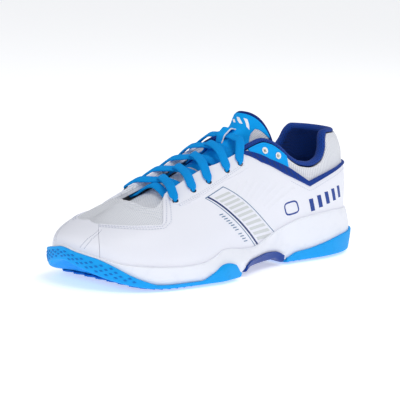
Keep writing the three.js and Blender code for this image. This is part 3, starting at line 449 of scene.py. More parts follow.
class MeshMaker:
    """Makes objects in the frame from points in millimetres."""

    CREASE = 42.0  # edges turning by more degrees than this are shaded sharp
    DOUBLES = 2e-6  # corners closer than this, in metres, are merged

    @staticmethod
    def from_faces(name: str, points: Array, faces: Sequence[Sequence[int]], uv: Array,
                   material: bpy.types.Material, crease: float = CREASE) -> bpy.types.Object:
        """Makes one object whose faces point outwards.

        Args:
            name: The piece's name.
            points: Corners, in millimetres, in the tables' axes.
            faces: Corner numbers of each face.
            uv: Two numbers for each corner, in metres, kept in the UV map "pattern".
            material: Its finish.
            crease: Edges turning by more than this many degrees are shaded sharp.

        Returns:
            The object.
        """
        mesh = bpy.data.meshes.new(name)
        mesh.from_pydata(metres(points), [], [list(f) for f in faces])
        layer = mesh.uv_layers.new(name="pattern")
        corner = np.zeros(len(mesh.loops), np.int32)
        mesh.loops.foreach_get("vertex_index", corner)
        layer.data.foreach_set("uv", uv[corner].astype(np.float32).ravel())
        work = bmesh.new()
        work.from_mesh(mesh)
        bmesh.ops.remove_doubles(work, verts=work.verts, dist=MeshMaker.DOUBLES)
        bmesh.ops.recalc_face_normals(work, faces=work.faces)
        work.to_mesh(mesh)
        work.free()
        mesh.polygons.foreach_set("use_smooth", [True] * len(mesh.polygons))
        mesh.set_sharp_from_angle(angle=math.radians(crease))
        mesh.materials.append(material)
        return add_object(name, mesh)

    @classmethod
    def slab(cls, name: str, outer: Array, inner: Array, uv: Array, material: bpy.types.Material,
             keep: Optional[Array] = None, crease: float = CREASE,
             zipped: tuple[bool, bool] = (False, False)) -> bpy.types.Object:
        """A closed solid between two grids of points.

        Args:
            name: The piece's name.
            outer: Grid of points, n by m by 3.
            inner: The grid behind it.
            uv: Pattern coordinates of the grid, n by m by 2, in millimetres.
            material: Its finish.
            keep: Which cells of the grid are solid, n - 1 by m - 1. All, if left out.
            crease: Angle of a sharp edge, in degrees.
            zipped: True where the first or the last row is folded onto itself.

        Returns:
            The object.
        """
        n, m = outer.shape[:2]
        keep = np.ones((n - 1, m - 1), bool) if keep is None else keep
        ids = np.arange(n * m).reshape(n, m)
        cells = cells_of(ids)[keep]
        framed = np.pad(keep, 1)
        rim_a = framed[1:-1, :-1] != framed[1:-1, 1:]
        rim_b = framed[:-1, 1:-1] != framed[1:, 1:-1]
        rim_b[0] &= not zipped[0]
        rim_b[-1] &= not zipped[1]
        edges = np.concatenate([
            np.stack([ids[:-1, :], ids[1:, :]], -1)[rim_a],
            np.stack([ids[:, :-1], ids[:, 1:]], -1)[rim_b],
        ])
        back = n * m
        walls = np.stack([edges[:, 0], edges[:, 1], edges[:, 1] + back, edges[:, 0] + back], -1)
        faces = np.concatenate([cells, cells[:, ::-1] + back, walls])
        points = np.concatenate([outer.reshape(-1, 3), inner.reshape(-1, 3)])
        flat = uv.reshape(-1, 2) * MM
        return cls._used(name, points, faces, np.concatenate([flat, flat]), material, crease)

    @classmethod
    def _used(cls, name: str, points: Array, faces: Array, uv: Array,
              material: bpy.types.Material, crease: float) -> bpy.types.Object:
        """Leaves out the corners that no face uses."""
        used, places = np.unique(faces, return_inverse=True)
        faces = places.reshape(faces.shape)
        return cls.from_faces(name, points[used], faces.tolist(), uv[used], material, crease)

    @classmethod
    def sweep(cls, name: str, rings: Array, material: bpy.types.Material, girth: float,
              closed: bool = False) -> bpy.types.Object:
        """A solid through rings of points.

        Args:
            name: The piece's name.
            rings: Points, rings by sides by 3.
            material: Its finish.
            girth: Length round one ring, in millimetres, for the pattern coordinates.
            closed: True where the last ring joins the first.

        Returns:
            The object.
        """
        n, k = rings.shape[:2]
        run = run_along(rings.mean(1))
        around = np.minimum(np.arange(k), k - np.arange(k)) * 2 / k * girth / 2
        uv = np.stack(np.broadcast_arrays(run[:, None], around[None, :]), -1).reshape(-1, 2) * MM
        ids = np.arange(n * k).reshape(n, k)
        if closed:
            ids = np.concatenate([ids, ids[:1]])
        nxt = np.roll(ids, -1, 1)
        faces = np.stack([ids[:-1], nxt[:-1], nxt[1:], ids[1:]], -1).reshape(-1, 4).tolist()
        if not closed:
            faces += [ids[0].tolist(), ids[-1].tolist()[::-1]]
        return cls.from_faces(name, rings.reshape(-1, 3), faces, uv, material, 60.0)

    @staticmethod
    def join(name: str, pieces: Sequence[bpy.types.Object]) -> bpy.types.Object:
        """Makes one object of several, which are removed."""
        work = bmesh.new()
        materials: list[bpy.types.Material] = []
        for piece in pieces:
            start = len(work.faces)
            work.from_mesh(piece.data)
            work.faces.ensure_lookup_table()
            own = piece.data.materials[0]
            if own not in materials:
                materials.append(own)
            for face in work.faces[start:]:
                face.material_index = materials.index(own)
        mesh = bpy.data.meshes.new(name)
        work.to_mesh(mesh)
        work.free()
        for material in materials:
            mesh.materials.append(material)
        for piece in pieces:
            bpy.data.objects.remove(piece)
        return add_object(name, mesh)


EDGE_STEPS = np.array([0, 0.15, 0.45, 0.9])  # rows of points beside an edge
EDGE_ROUNDING = 0.45


def value_of(amount: Amount, t: Array, v: Array) -> Array:
    """A number or a function of t and v, as an array."""
    return amount(t, v) if callable(amount) else np.full(np.broadcast(t, v).shape, float(amount))


def stations(start: float, stop: float, *corners: float, step: float = 1.3) -> Array:
    """Stations with fine ends, for layers whose ends are rounded.

    Args:
        start: First station.
        stop: Last station.
        corners: Further stations that must be there.
        step: Spacing in millimetres.

    Returns:
        The stations in rising order.
    """
    ends = EDGE_STEPS / ROUND_ABOUT
    count = max(2, round((stop - start) * ROUND_ABOUT / step))
    middle = np.linspace(start + ends[-1] * 2, stop - ends[-1] * 2, count)
    inside = [c for c in corners if start < c < stop]
    return np.unique(np.round(np.concatenate([start + ends, middle, stop - ends, inside]), 6))


@dataclass
class Layer:
    """One cut piece of the upper, lying over the last."""

    name: str
    ts: Array
    low: Callable[[Array], Array]
    high: Callable[[Array], Array]
    inner: Amount
    outer: Amount
    rows: int = 60
    rounding: float = EDGE_ROUNDING
    relief: Optional[Relief] = None
    holes: Sequence[Hole] = field(default_factory=list)

    def build(self, material: bpy.types.Material) -> bpy.types.Object:
        """Makes the piece, with rounded edges, its relief and its holes.

        Args:
            material: Its finish.

        Returns:
            The object.
        """
        t = self.ts[:, None]
        low, high = self.low(self.ts)[:, None], self.high(self.ts)[:, None]
        span = self._span(low, high)
        edge = EDGE_STEPS[None, :] / EDGE_ROUNDING * self.rounding
        near = np.minimum(edge / np.maximum(span, 1e-6), np.linspace(0, 0.4, 4)[None, :])
        core = np.linspace(0, 1, self.rows + 2)[None, 1:-1]
        inside = mix(near[:, -1:], 1 - near[:, -1:], core)
        f = np.concatenate([near, inside, 1 - near[:, ::-1]], 1)
        v = low + (high - low) * f
        t = np.broadcast_to(t, v.shape)
        edge_way = np.minimum(f, 1 - f) * span
        end_way = np.minimum(t - self.ts[0], self.ts[-1] - t) * ROUND_ABOUT
        away = np.minimum(np.minimum(edge_way, end_way), self.rounding)
        drop = edge_drop(away, self.rounding)
        face = LAST.shell(t, v, value_of(self.outer, t, v))
        raised = 0 if self.relief is None else self.relief(t, v, face)
        outer = LAST.shell(t, v, value_of(self.outer, t, v) - drop + raised)
        inner = LAST.shell(t, v, value_of(self.inner, t, v))
        keep = self._cut_holes(outer, inner)
        uv = np.stack([t * ROUND_ABOUT, v * WALL_HEIGHT], -1)
        return MeshMaker.slab(self.name, outer, inner, uv, material, keep)

    def _span(self, low: Array, high: Array) -> Array:
        """Length of each column from its low edge to its high edge."""
        t = self.ts[:, None]
        middle = LAST.point(t, (low + high) / 2)
        first = np.linalg.norm(LAST.point(t, low) - middle, axis=-1)
        second = np.linalg.norm(LAST.point(t, high) - middle, axis=-1)
        return first + second

    def _cut_holes(self, outer: Array, inner: Array) -> Array:
        """Marks the cells in the holes as open, and moves their rims onto the round."""
        keep = np.ones((outer.shape[0] - 1, outer.shape[1] - 1), bool)
        for hole in self.holes:
            centres = (outer[:-1, :-1] + outer[1:, :-1] + outer[1:, 1:] + outer[:-1, 1:]) / 4
            open_cells = hole.off_axis(centres)[1] < hole.radius
            if not open_cells.any():
                continue
            keep &= ~open_cells
            wide = np.pad(open_cells, 1)
            touch = (wide[:-1, :-1], wide[1:, :-1], wide[:-1, 1:], wide[1:, 1:])
            rim = np.logical_or.reduce(touch) & ~np.logical_and.reduce(touch)
            for grid in (outer, inner):
                flat, size = hole.off_axis(grid)
                pull = np.where(rim & (size < 2 * hole.radius), hole.radius / size - 1, 0)
                grid += flat * pull[..., None]
        return keep


def on_side(ts: Array, lateral: bool) -> Array:
    """Stations of the outer side, or the same ones on the inner side."""
    return ts if lateral else np.sort(1 - ts)


def eyelet_holes(rows: Iterable[int], sides: Iterable[bool] = (True, False)) -> list[Hole]:
    """The punched holes of some rows, on one side or on both."""
    spots = [Pattern.eyelet(row, lateral) for lateral in sides for row in rows]
    return [Hole(spot["place"], spot["up"], PUNCHED) for spot in spots]


@dataclass
class Trace:
    """A line drawn over the last through corners (t, v)."""

    corners: Sequence[Spot]
    offset: float
    spacing: float = 1.0

    def places(self) -> tuple[Array, Array]:
        """Evenly spaced points along the line.

        Returns:
            The points, and the surface's normal at each.
        """
        corners = np.array(self.corners, float)
        fine = np.concatenate([
            mix(a, b, np.linspace(0, 1, 60, endpoint=False)[:, None])
            for a, b in zip(corners[:-1], corners[1:])
        ] + [corners[-1:]])
        rough = LAST.shell(fine[:, 0], fine[:, 1], np.full(len(fine), self.offset))
        run = run_along(rough)
        count = max(2, round(run[-1] / self.spacing) + 1)
        at = np.linspace(0, run[-1], count)
        t, v = (np.interp(at, run, fine[:, k]) for k in (0, 1))
        return LAST.shell(t, v, np.full(count, self.offset)), LAST.normal(t, v)


def groove(traces: Sequence[Trace], depth: float, width: float) -> Relief:
    """A relief that sinks along lines, or rises where depth is negative.

    Args:
        traces: The lines.
        depth: How deep they are.
        width: Half width at which the groove has faded.

    Returns:
        The relief, for a layer.
    """
    places = np.concatenate([trace.places()[0] for trace in traces])

    def relief(t: Array, v: Array, face: Array) -> Array:
        """Height change at each point of the layer's face."""
        flat = face.reshape(-1, 3)
        nearest = np.full(len(flat), FAR)
        for start in range(0, len(places), 64):
            some = places[start:start + 64]
            nearest = np.minimum(nearest, ((flat[:, None, :] - some[None]) ** 2).sum(-1).min(1))
        return -depth * np.exp(-nearest / width**2).reshape(t.shape)

    return relief


# ------------------------------------------------------------------------------- shaders
class Value:
    """A number in a shader. Its maths is written as Python and adds Math nodes."""

    def __init__(self, shader: "Shader", socket: bpy.types.NodeSocket) -> None:
        """Args:
            shader: The shader that it belongs to.
            socket: The output that it stands for.
        """
        self.shader = shader
        self.socket = socket

    def _math(self, operation: str, *others: Union["Value", float]) -> "Value":
        """Adds one Math node."""
        values = dict(enumerate(others))
        return self.shader.node("ShaderNodeMath", {"operation": operation}, values)

    def __add__(self, other: Union["Value", float]) -> "Value":
        """self + other."""
        return self._math("ADD", self, other)

    def __radd__(self, other: float) -> "Value":
        """other + self."""
        return self._math("ADD", other, self)

    def __sub__(self, other: Union["Value", float]) -> "Value":
        """self - other."""
        return self._math("SUBTRACT", self, other)

    def __rsub__(self, other: float) -> "Value":
        """other - self."""
        return self._math("SUBTRACT", other, self)

    def __mul__(self, other: Union["Value", float]) -> "Value":
        """self * other."""
        return self._math("MULTIPLY", self, other)

    def __rmul__(self, other: float) -> "Value":
        """other * self."""
        return self._math("MULTIPLY", other, self)

    def __truediv__(self, other: Union["Value", float]) -> "Value":
        """self / other."""
        return self._math("DIVIDE", self, other)

    def __pow__(self, other: float) -> "Value":
        """self ** other."""
        return self._math("POWER", self, other)

    def __mod__(self, other: float) -> "Value":
        """self modulo other, never negative."""
        return self._math("FLOORED_MODULO", self, other)

    def floor(self) -> "Value":
        """The whole number below."""
        return self._math("FLOOR", self)

    def sine(self) -> "Value":
        """The sine."""
        return self._math("SINE", self)

    def size(self) -> "Value":
        """The absolute value."""
        return self._math("ABSOLUTE", self)

    def ramp(self, low: float, high: float) -> "Value":
        """Rises smoothly from 0 at low to 1 at high."""
        inputs = {"Value": self, "From Min": low, "From Max": high}
        settings = {"interpolation_type": "SMOOTHSTEP", "clamp": True}
        if low < high:
            return self.shader.node("ShaderNodeMapRange", settings, inputs)
        inputs.update({"From Min": high, "From Max": low})
        return 1 - self.shader.node("ShaderNodeMapRange", settings, inputs)


class Shader:
    """One node material while it is made."""

    def __init__(self, name: str) -> None:
        """Args:
            name: The material's name.
        """
        self.material = bpy.data.materials.new(name)
        self.material.use_nodes = True
        self.tree = self.material.node_tree
        self.tree.nodes.clear()
        self.bsdf = self.tree.nodes.new("ShaderNodeBsdfPrincipled")
        output = self.tree.nodes.new("ShaderNodeOutputMaterial")
        self.tree.links.new(self.bsdf.outputs[0], output.inputs[0])

    def node(self, kind: str, settings: dict[str, object], inputs: dict[Union[str, int], object],
             output: Union[str, int] = 0) -> Value:
        """Adds one node.

        Args:
            kind: The node's type.
            settings: Its properties, set first.
            inputs: Values or links of its sockets.
            output: The output to read.

        Returns:
            That output.
        """
        made = self.tree.nodes.new(kind)
        for key, setting in settings.items():
            setattr(made, key, setting)
        for key, value in inputs.items():
            self.feed(made.inputs[key], value)
        return Value(self, made.outputs[output])

    def feed(self, socket: bpy.types.NodeSocket, value: object) -> None:
        """Links a value to a socket, or sets the socket to a number or colour."""
        if isinstance(value, Value):
            self.tree.links.new(value.socket, socket)
        else:
            socket.default_value = value

    def pattern(self) -> tuple[Value, Value]:
        """The piece's pattern coordinates, in millimetres along and up."""
        place = self.node("ShaderNodeUVMap", {"uv_map": "pattern"}, {})
        parts = self.node("ShaderNodeSeparateXYZ", {}, {0: place})
        up = Value(self, parts.socket.node.outputs[1])
        return parts * 1000, up * 1000

    def place(self) -> Value:
        """The point's place in the frame, in metres."""
        return self.node("ShaderNodeTexCoord", {}, {}, "Object")

    def noise(self, grain: float, detail: float = 3.0) -> Value:
        """Soft noise over the object.

        Args:
            grain: Size of its features, in millimetres.
            detail: Levels of finer noise.

        Returns:
            A number around one half.
        """
        inputs = {"Vector": self.place(), "Scale": 1 / (grain * MM), "Detail": detail}
        return self.node("ShaderNodeTexNoise", {}, inputs)

    def blend(self, first: object, second: object, share: Value) -> Value:
        """A colour between two colours."""
        inputs = {0: share, 6: first, 7: second}
        return self.node("ShaderNodeMix", {"data_type": "RGBA"}, inputs, 2)

    def bump(self, height: Value, depth: float) -> Value:
        """A normal bumped by a height.

        Args:
            height: From 0 to 1.
            depth: Millimetres for a height of 1.

        Returns:
            The normal.
        """
        inputs = {"Height": height, "Distance": depth * MM, "Strength": 1.0}
        return self.node("ShaderNodeBump", {}, inputs)


def srgb(code: str) -> tuple[float, float, float, float]:
    """A colour as light, from its screen code of six hex digits."""
    parts = [int(code[i:i + 2], 16) / 255 for i in (0, 2, 4)]
    linear = [p / 12.92 if p <= 0.04045 else ((p + 0.055) / 1.055) ** 2.4 for p in parts]
    return (*linear, 1.0)


class Texture(Enum):
    """The kinds of surface that the shoe has."""

    GRAIN = "grained film"
    DOTS = "open mesh with round holes"
    RIBS = "knit with upright ribs"
    HONEYCOMB = "knit with sunk diamonds"
    HERRINGBONE = "woven tape"
    CLOTH = "plain weave"
    RUBBER = "moulded rubber"
    FOAM = "moulded foam"
    PLASTIC = "smooth moulding"


@dataclass(frozen=True)
class Finish:
    """How one surface looks."""

    name: str
    colour: str
    texture: Texture
    # darker colour of the texture: painted shade in its hollows on most textures, random tone on
    # rubber, foam and plastic
    shade: str
    pitch: float = 1.0
    depth: float = 0.1
    roughness: float = 0.6
    sheen: float = 0.0
    coat: float = 0.0
    specular: float = 0.4

    def build(self) -> bpy.types.Material:
        """Makes the node material."""
        shader = Shader(self.name)
        height, mark = self._relief(shader)
        cloud = shader.noise(28.0, 2.0)
        # the darker colour is painted where the texture is low (painted shade in its hollows), plus
        # random cloud tone
        base = shader.blend(srgb(self.colour), srgb(self.shade), mark * 0.8 + cloud * 0.12)
        shader.feed(shader.bsdf.inputs["Base Color"], base)
        rough = cloud * 0.14 + (self.roughness - 0.07) + mark * 0.1
        shader.feed(shader.bsdf.inputs["Roughness"], rough)
        shader.feed(shader.bsdf.inputs["Normal"], shader.bump(height, self.depth))
        shader.bsdf.inputs["Specular IOR Level"].default_value = self.specular
        shader.bsdf.inputs["Sheen Weight"].default_value = self.sheen
        shader.bsdf.inputs["Sheen Roughness"].default_value = 0.6
        shader.bsdf.inputs["Coat Weight"].default_value = self.coat
        shader.bsdf.inputs["Coat Roughness"].default_value = 0.25
        shader.material.diffuse_color = srgb(self.colour)
        return shader.material

    def _relief(self, shader: Shader) -> tuple[Value, Value]:
        """The texture's height, and where its darker colour shows, each from 0 to 1: mostly painted
        shade in the hollows, but random tone on rubber, foam and plastic.
        """
        makers = {
            Texture.GRAIN: self._grain, Texture.DOTS: self._dots, Texture.RIBS: self._ribs,
            Texture.HONEYCOMB: self._honeycomb, Texture.HERRINGBONE: self._herringbone,
            Texture.CLOTH: self._cloth, Texture.RUBBER: self._rubber, Texture.FOAM: self._foam,
            Texture.PLASTIC: self._plastic,
        }
        return makers[self.texture](shader)

    def _cells(self, shader: Shader, feature: str) -> Value:
        """Distance from the middles of scattered cells."""
        inputs = {"Vector": shader.place(), "Scale": 1 / (self.pitch * MM)}
        return shader.node("ShaderNodeTexVoronoi", {"feature": feature}, inputs)

    @staticmethod
    def _wave(way: Value, pitch: float) -> Value:
        """A wave from -1 to 1, once in each pitch."""
        return (way * (2 * math.pi / pitch)).sine()

    def _grain(self, shader: Shader) -> tuple[Value, Value]:
        """Fine rounded cells, as on coated leather, with painted shade in the grooves between them.
        """
        cells = self._cells(shader, "SMOOTH_F1")
        fine = shader.noise(self.pitch * 0.5)
        return 1 - cells * 0.7 + fine * 0.3, cells.ramp(0.55, 0.95) * 0.12

    def _staggered(self, shader: Shader, wide: float, tall: float) -> tuple[Value, Value]:
        """Place in each cell of a staggered grid, from -0.5 to 0.5 both ways."""
        along, up = shader.pattern()
        row = up / tall
        across = (along / wide + row.floor() % 2 * 0.5) % 1 - 0.5
        return across, row % 1 - 0.5

    def _dots(self, shader: Shader) -> tuple[Value, Value]:
        """Round holes in a staggered grid, painted darker: the backing seen through them, with
        painted shade in them.
        """
        across, up = self._staggered(shader, self.pitch, self.pitch * 0.85)
        away = (across * across + up * up) ** 0.5
        hole = away.ramp(0.3, 0.2)
        thread = (across * 31.4).sine() * 0.1
        return 1 - hole + thread, hole

    def _ribs(self, shader: Shader) -> tuple[Value, Value]:
        """Upright ribs with a fine knit on them, and painted shade in the grooves between the ribs.
        """
        along, up = shader.pattern()
        rib = self._wave(along, self.pitch) * 0.5 + 0.5
        loops = self._wave(up, self.pitch * 0.6) * 0.5 + 0.5
        return rib * 0.75 + loops * 0.25, rib.ramp(0.35, 0.0) * (0.6 + loops * 0.4)

    def _honeycomb(self, shader: Shader) -> tuple[Value, Value]:
        """Sunk diamonds in a staggered grid, with painted shade in their sunk middles."""
        across, up = self._staggered(shader, self.pitch, self.pitch * 0.8)
        away = across.size() + up.size()
        return away.ramp(0.1, 0.5), away.ramp(0.45, 0.15)

    def _herringbone(self, shader: Shader) -> tuple[Value, Value]:
        """Slanted threads that turn about the tape's middle, with painted shade between the
        threads.
        """
        along, up = shader.pattern()
        lean = (up % (self.pitch * 4) - self.pitch * 2).size()
        thread = self._wave(along + lean * 0.8, self.pitch) * 0.5 + 0.5
        return thread, thread.ramp(0.45, 0.0)

    def _cloth(self, shader: Shader) -> tuple[Value, Value]:
        """Warp over weft, with painted shade where the weave sinks."""
        along, up = shader.pattern()
        weave = self._wave(along, self.pitch) * self._wave(up, self.pitch) * 0.5 + 0.5
        return weave, weave.ramp(0.4, 0.0)

    def _rubber(self, shader: Shader) -> tuple[Value, Value]:
        """Fine blasted mould texture, with soft scuffs."""
        fine = shader.noise(self.pitch, 4.0)
        scuff = shader.noise(self.pitch * 14, 5.0).ramp(0.55, 0.8)
        return fine, scuff * 0.35

    def _foam(self, shader: Shader) -> tuple[Value, Value]:
        """The skin of moulded foam: fine pimples."""
        cells = self._cells(shader, "F1")
        return 1 - cells, shader.noise(self.pitch * 20, 3.0).ramp(0.5, 0.8) * 0.25

    def _plastic(self, shader: Shader) -> tuple[Value, Value]:
        """Nearly smooth, with a faint flow."""
        flow = shader.noise(self.pitch, 2.0)
        return flow, flow.ramp(0.55, 0.8) * 0.2


class Finishes:
    """Every finish of the shoe, made once."""

    LIST = (
        Finish("white_film", "F0F1F9", Texture.GRAIN, "CDD2E4", 0.7, 0.035, 0.45, coat=0.05),
        Finish("white_mesh", "F3F5FA", Texture.DOTS, "CBD0DE", 2.0, 0.28, 0.8, sheen=0.2),
        Finish("tongue_mesh", "EDEFF4", Texture.DOTS, "B4B8C4", 1.3, 0.2, 0.85, sheen=0.2),
        Finish("grey_knit", "E9EBF0", Texture.RIBS, "B9BDC9", 2.1, 0.3, 0.85, sheen=0.25),
        Finish("royal_knit", "0A3F9C", Texture.HONEYCOMB, "062860", 1.9, 0.4, 0.8, sheen=0.08,
               specular=0.15),
        Finish("dark_cloth", "20242E", Texture.CLOTH, "0C0E13", 0.9, 0.12, 0.9, sheen=0.2),
        Finish("plain_lining", "D9DBE2", Texture.CLOTH, "B5B8C2", 0.8, 0.1, 0.9),
        Finish("sky_film", "00A6F8", Texture.GRAIN, "0088D2", 0.8, 0.04, 0.5, specular=0.15),
        Finish("sky_cloth", "00A6F8", Texture.CLOTH, "008AD8", 0.55, 0.05, 0.65, specular=0.12),
        Finish("sky_lace", "00A2F6", Texture.HERRINGBONE, "0076C4", 1.0, 0.14, 0.75, specular=0.15),
        Finish("royal_film", "083890", Texture.GRAIN, "06286A", 0.7, 0.04, 0.5, specular=0.18),
        Finish("navy_tape", "0C3084", Texture.HERRINGBONE, "081F58", 0.8, 0.12, 0.75,
               specular=0.15),
        Finish("sky_rubber", "0AA4F2", Texture.RUBBER, "0A8AD0", 0.5, 0.05, 0.55, specular=0.2),
        Finish("deep_rubber", "0A78CC", Texture.RUBBER, "0866B0", 0.5, 0.05, 0.55, specular=0.2),
        Finish("white_foam", "F1F3FA", Texture.FOAM, "D6DAE8", 0.45, 0.03, 0.52),
        Finish("royal_plastic", "063C94", Texture.PLASTIC, "052E76", 6.0, 0.03, 0.4, specular=0.3),
        Finish("white_plastic", "F6F6F4", Texture.PLASTIC, "D5D5D2", 3.0, 0.02, 0.3, coat=0.3),
        Finish("white_thread", "E2E5EF", Texture.PLASTIC, "C2C7D6", 0.6, 0.02, 0.7),
        Finish("pale_thread", "C9CEDD", Texture.PLASTIC, "AAB0C4", 0.6, 0.02, 0.7),
        Finish("navy_ink", "10306E", Texture.GRAIN, "0C1B45", 0.7, 0.03, 0.5),
        Finish("royal_ink", "123F96", Texture.GRAIN, "0E296B", 0.7, 0.03, 0.5),
        Finish("slate_ink", "5C7EA0", Texture.GRAIN, "486888", 0.7, 0.03, 0.5),
        Finish("grey_ink", "D3D7D8", Texture.GRAIN, "C0C5C8", 0.7, 0.03, 0.5),
        Finish("white_ink", "F7F8FB", Texture.GRAIN, "DDE0E8", 0.7, 0.03, 0.5),
        # grey of the toe's punched dots: painted shade inside the holes
        Finish("hole_shade_grey", "B4B9C8", Texture.PLASTIC, "A0A6B8", 2.0, 0.02, 0.9),
        Finish("shadow", "3A3F4C", Texture.PLASTIC, "23262E", 2.0, 0.02, 0.9),
        Finish("cushion_gel", "58B6EC", Texture.FOAM, "3C9AD3", 0.8, 0.05, 0.5),
        Finish("fibre_board", "CFC9BC", Texture.FOAM, "B2AC9E", 1.2, 0.08, 0.95),
        Finish("padding_foam", "EAE6D6", Texture.FOAM, "CFC9B4", 0.7, 0.15, 0.95),
    )

    def __init__(self) -> None:
        """Builds the materials."""
        self.made = {finish.name: finish.build() for finish in self.LIST}

    def __getitem__(self, name: str) -> bpy.types.Material:
        """The material of that name."""
        return self.made[name]


# ------------------------------------------------------------------------ geometry nodes
class Repeater:
    """A geometry node tree that repeats a shape, with named inputs."""

    KINDS = {
        "float": "NodeSocketFloat", "material": "NodeSocketMaterial", "object": "NodeSocketObject",
    }

    def __init__(self, name: str, inputs: dict[str, str]) -> None:
        """Args:
            name: The tree's name.
            inputs: Each input's name and its kind.
        """
        self.tree = bpy.data.node_groups.new(name, "GeometryNodeTree")
        face = self.tree.interface
        face.new_socket("Geometry", in_out="INPUT", socket_type="NodeSocketGeometry")
        for key, kind in inputs.items():
            face.new_socket(key, in_out="INPUT", socket_type=self.KINDS[kind])
        face.new_socket("Geometry", in_out="OUTPUT", socket_type="NodeSocketGeometry")
        self.start = self.tree.nodes.new("NodeGroupInput")
        self.end = self.tree.nodes.new("NodeGroupOutput")

    def node(self, kind: str, settings: dict[str, object], inputs: dict[Union[str, int], object],
             output: Union[str, int] = 0) -> bpy.types.NodeSocket:
        """Adds one node and returns one of its outputs.

        Args:
            kind: The node's type.
            settings: Its properties, set first.
            inputs: Numbers for its sockets, or sockets to link to them.
            output: The output to return.

        Returns:
            The output's socket.
        """
        made = self.tree.nodes.new(kind)
        for key, setting in settings.items():
            setattr(made, key, setting)
        for key, value in inputs.items():
            if isinstance(value, bpy.types.NodeSocket):
                self.tree.links.new(value, made.inputs[key])
            else:
                made.inputs[key].default_value = value
        return made.outputs[output]

    def input(self, name: str) -> bpy.types.NodeSocket:
        """The group's own input of that name."""
        return self.start.outputs[name]

    def finish(self, instances: bpy.types.NodeSocket) -> None:
        """Ends the tree: the instances are made real and given their material."""
        real = self.node("GeometryNodeRealizeInstances", {}, {0: instances})
        inputs = {0: real, "Material": self.input("Material")}
        dressed = self.node("GeometryNodeSetMaterial", {}, inputs)
        self.tree.links.new(dressed, self.end.inputs[0])

    def apply(self, obj: bpy.types.Object, values: dict[str, object]) -> bpy.types.Object:
        """Runs the tree on an object and leaves the result as its plain mesh.

        Args:
            obj: The object whose points or lines are followed.
            values: The inputs by name.

        Returns:
            The object.
        """
        modifier = obj.modifiers.new("repeat", "NODES")
        modifier.node_group = self.tree
        sockets = {item.name: item.identifier for item in self.tree.interface.items_tree
                   if item.in_out == "INPUT"}
        for key, value in values.items():
            modifier[sockets[key]] = value
        depsgraph = bpy.context.evaluated_depsgraph_get()
        mesh = bpy.data.meshes.new_from_object(obj.evaluated_get(depsgraph), depsgraph=depsgraph)
        obj.modifiers.remove(modifier)
        obj.data = mesh
        return obj


class StitchLine(Repeater):
    """Stitches along lines, each a short rounded thread."""

    def __init__(self) -> None:
        """Builds the tree."""
        super().__init__("stitch_line", {
            "Pitch": "float", "Length": "float", "Width": "float", "Material": "material"})
        curve = self.node("GeometryNodeMeshToCurve", {}, {0: self.input("Geometry")})
        even = self.node("GeometryNodeResampleCurve", {"mode": "LENGTH"}, {
            "Curve": curve, "Length": self.input("Pitch")})
        tangent = self.node("GeometryNodeInputTangent", {}, {})
        turn = self.node("FunctionNodeAlignRotationToVector", {"axis": "Z"}, {"Vector": tangent})
        thread = self.node("GeometryNodeMeshUVSphere", {}, {
            "Segments": 6, "Rings": 5, "Radius": 0.5})
        size = self.node("ShaderNodeCombineXYZ", {}, {
            0: self.input("Width"), 1: self.input("Width"), 2: self.input("Length")})
        instances = self.node("GeometryNodeInstanceOnPoints", {}, {
            "Points": even, "Instance": thread, "Rotation": turn, "Scale": size})
        self.finish(instances)


class ShapeOnPoints(Repeater):
    """A shape at each point of a mesh, turned by the points' own directions."""

    def __init__(self) -> None:
        """Builds the tree."""
        super().__init__("shape_on_points", {"Shape": "object", "Material": "material"})
        facing = self._named("facing")
        along = self._named("along")
        first = self.node("FunctionNodeAlignRotationToVector", {"axis": "Z"}, {"Vector": facing})
        turn = self.node("FunctionNodeAlignRotationToVector", {"axis": "X", "pivot_axis": "Z"}, {
            "Rotation": first, "Vector": along})
        shape = self.node("GeometryNodeObjectInfo", {}, {"Object": self.input("Shape")}, "Geometry")
        grow = self._named("grow")
        instances = self.node("GeometryNodeInstanceOnPoints", {}, {
            "Points": self.input("Geometry"), "Instance": shape, "Rotation": turn, "Scale": grow})
        self.finish(instances)

    def _named(self, name: str) -> bpy.types.NodeSocket:
        """A vector that the points carry."""
        return self.node("GeometryNodeInputNamedAttribute", {"data_type": "FLOAT_VECTOR"}, {
            "Name": name})


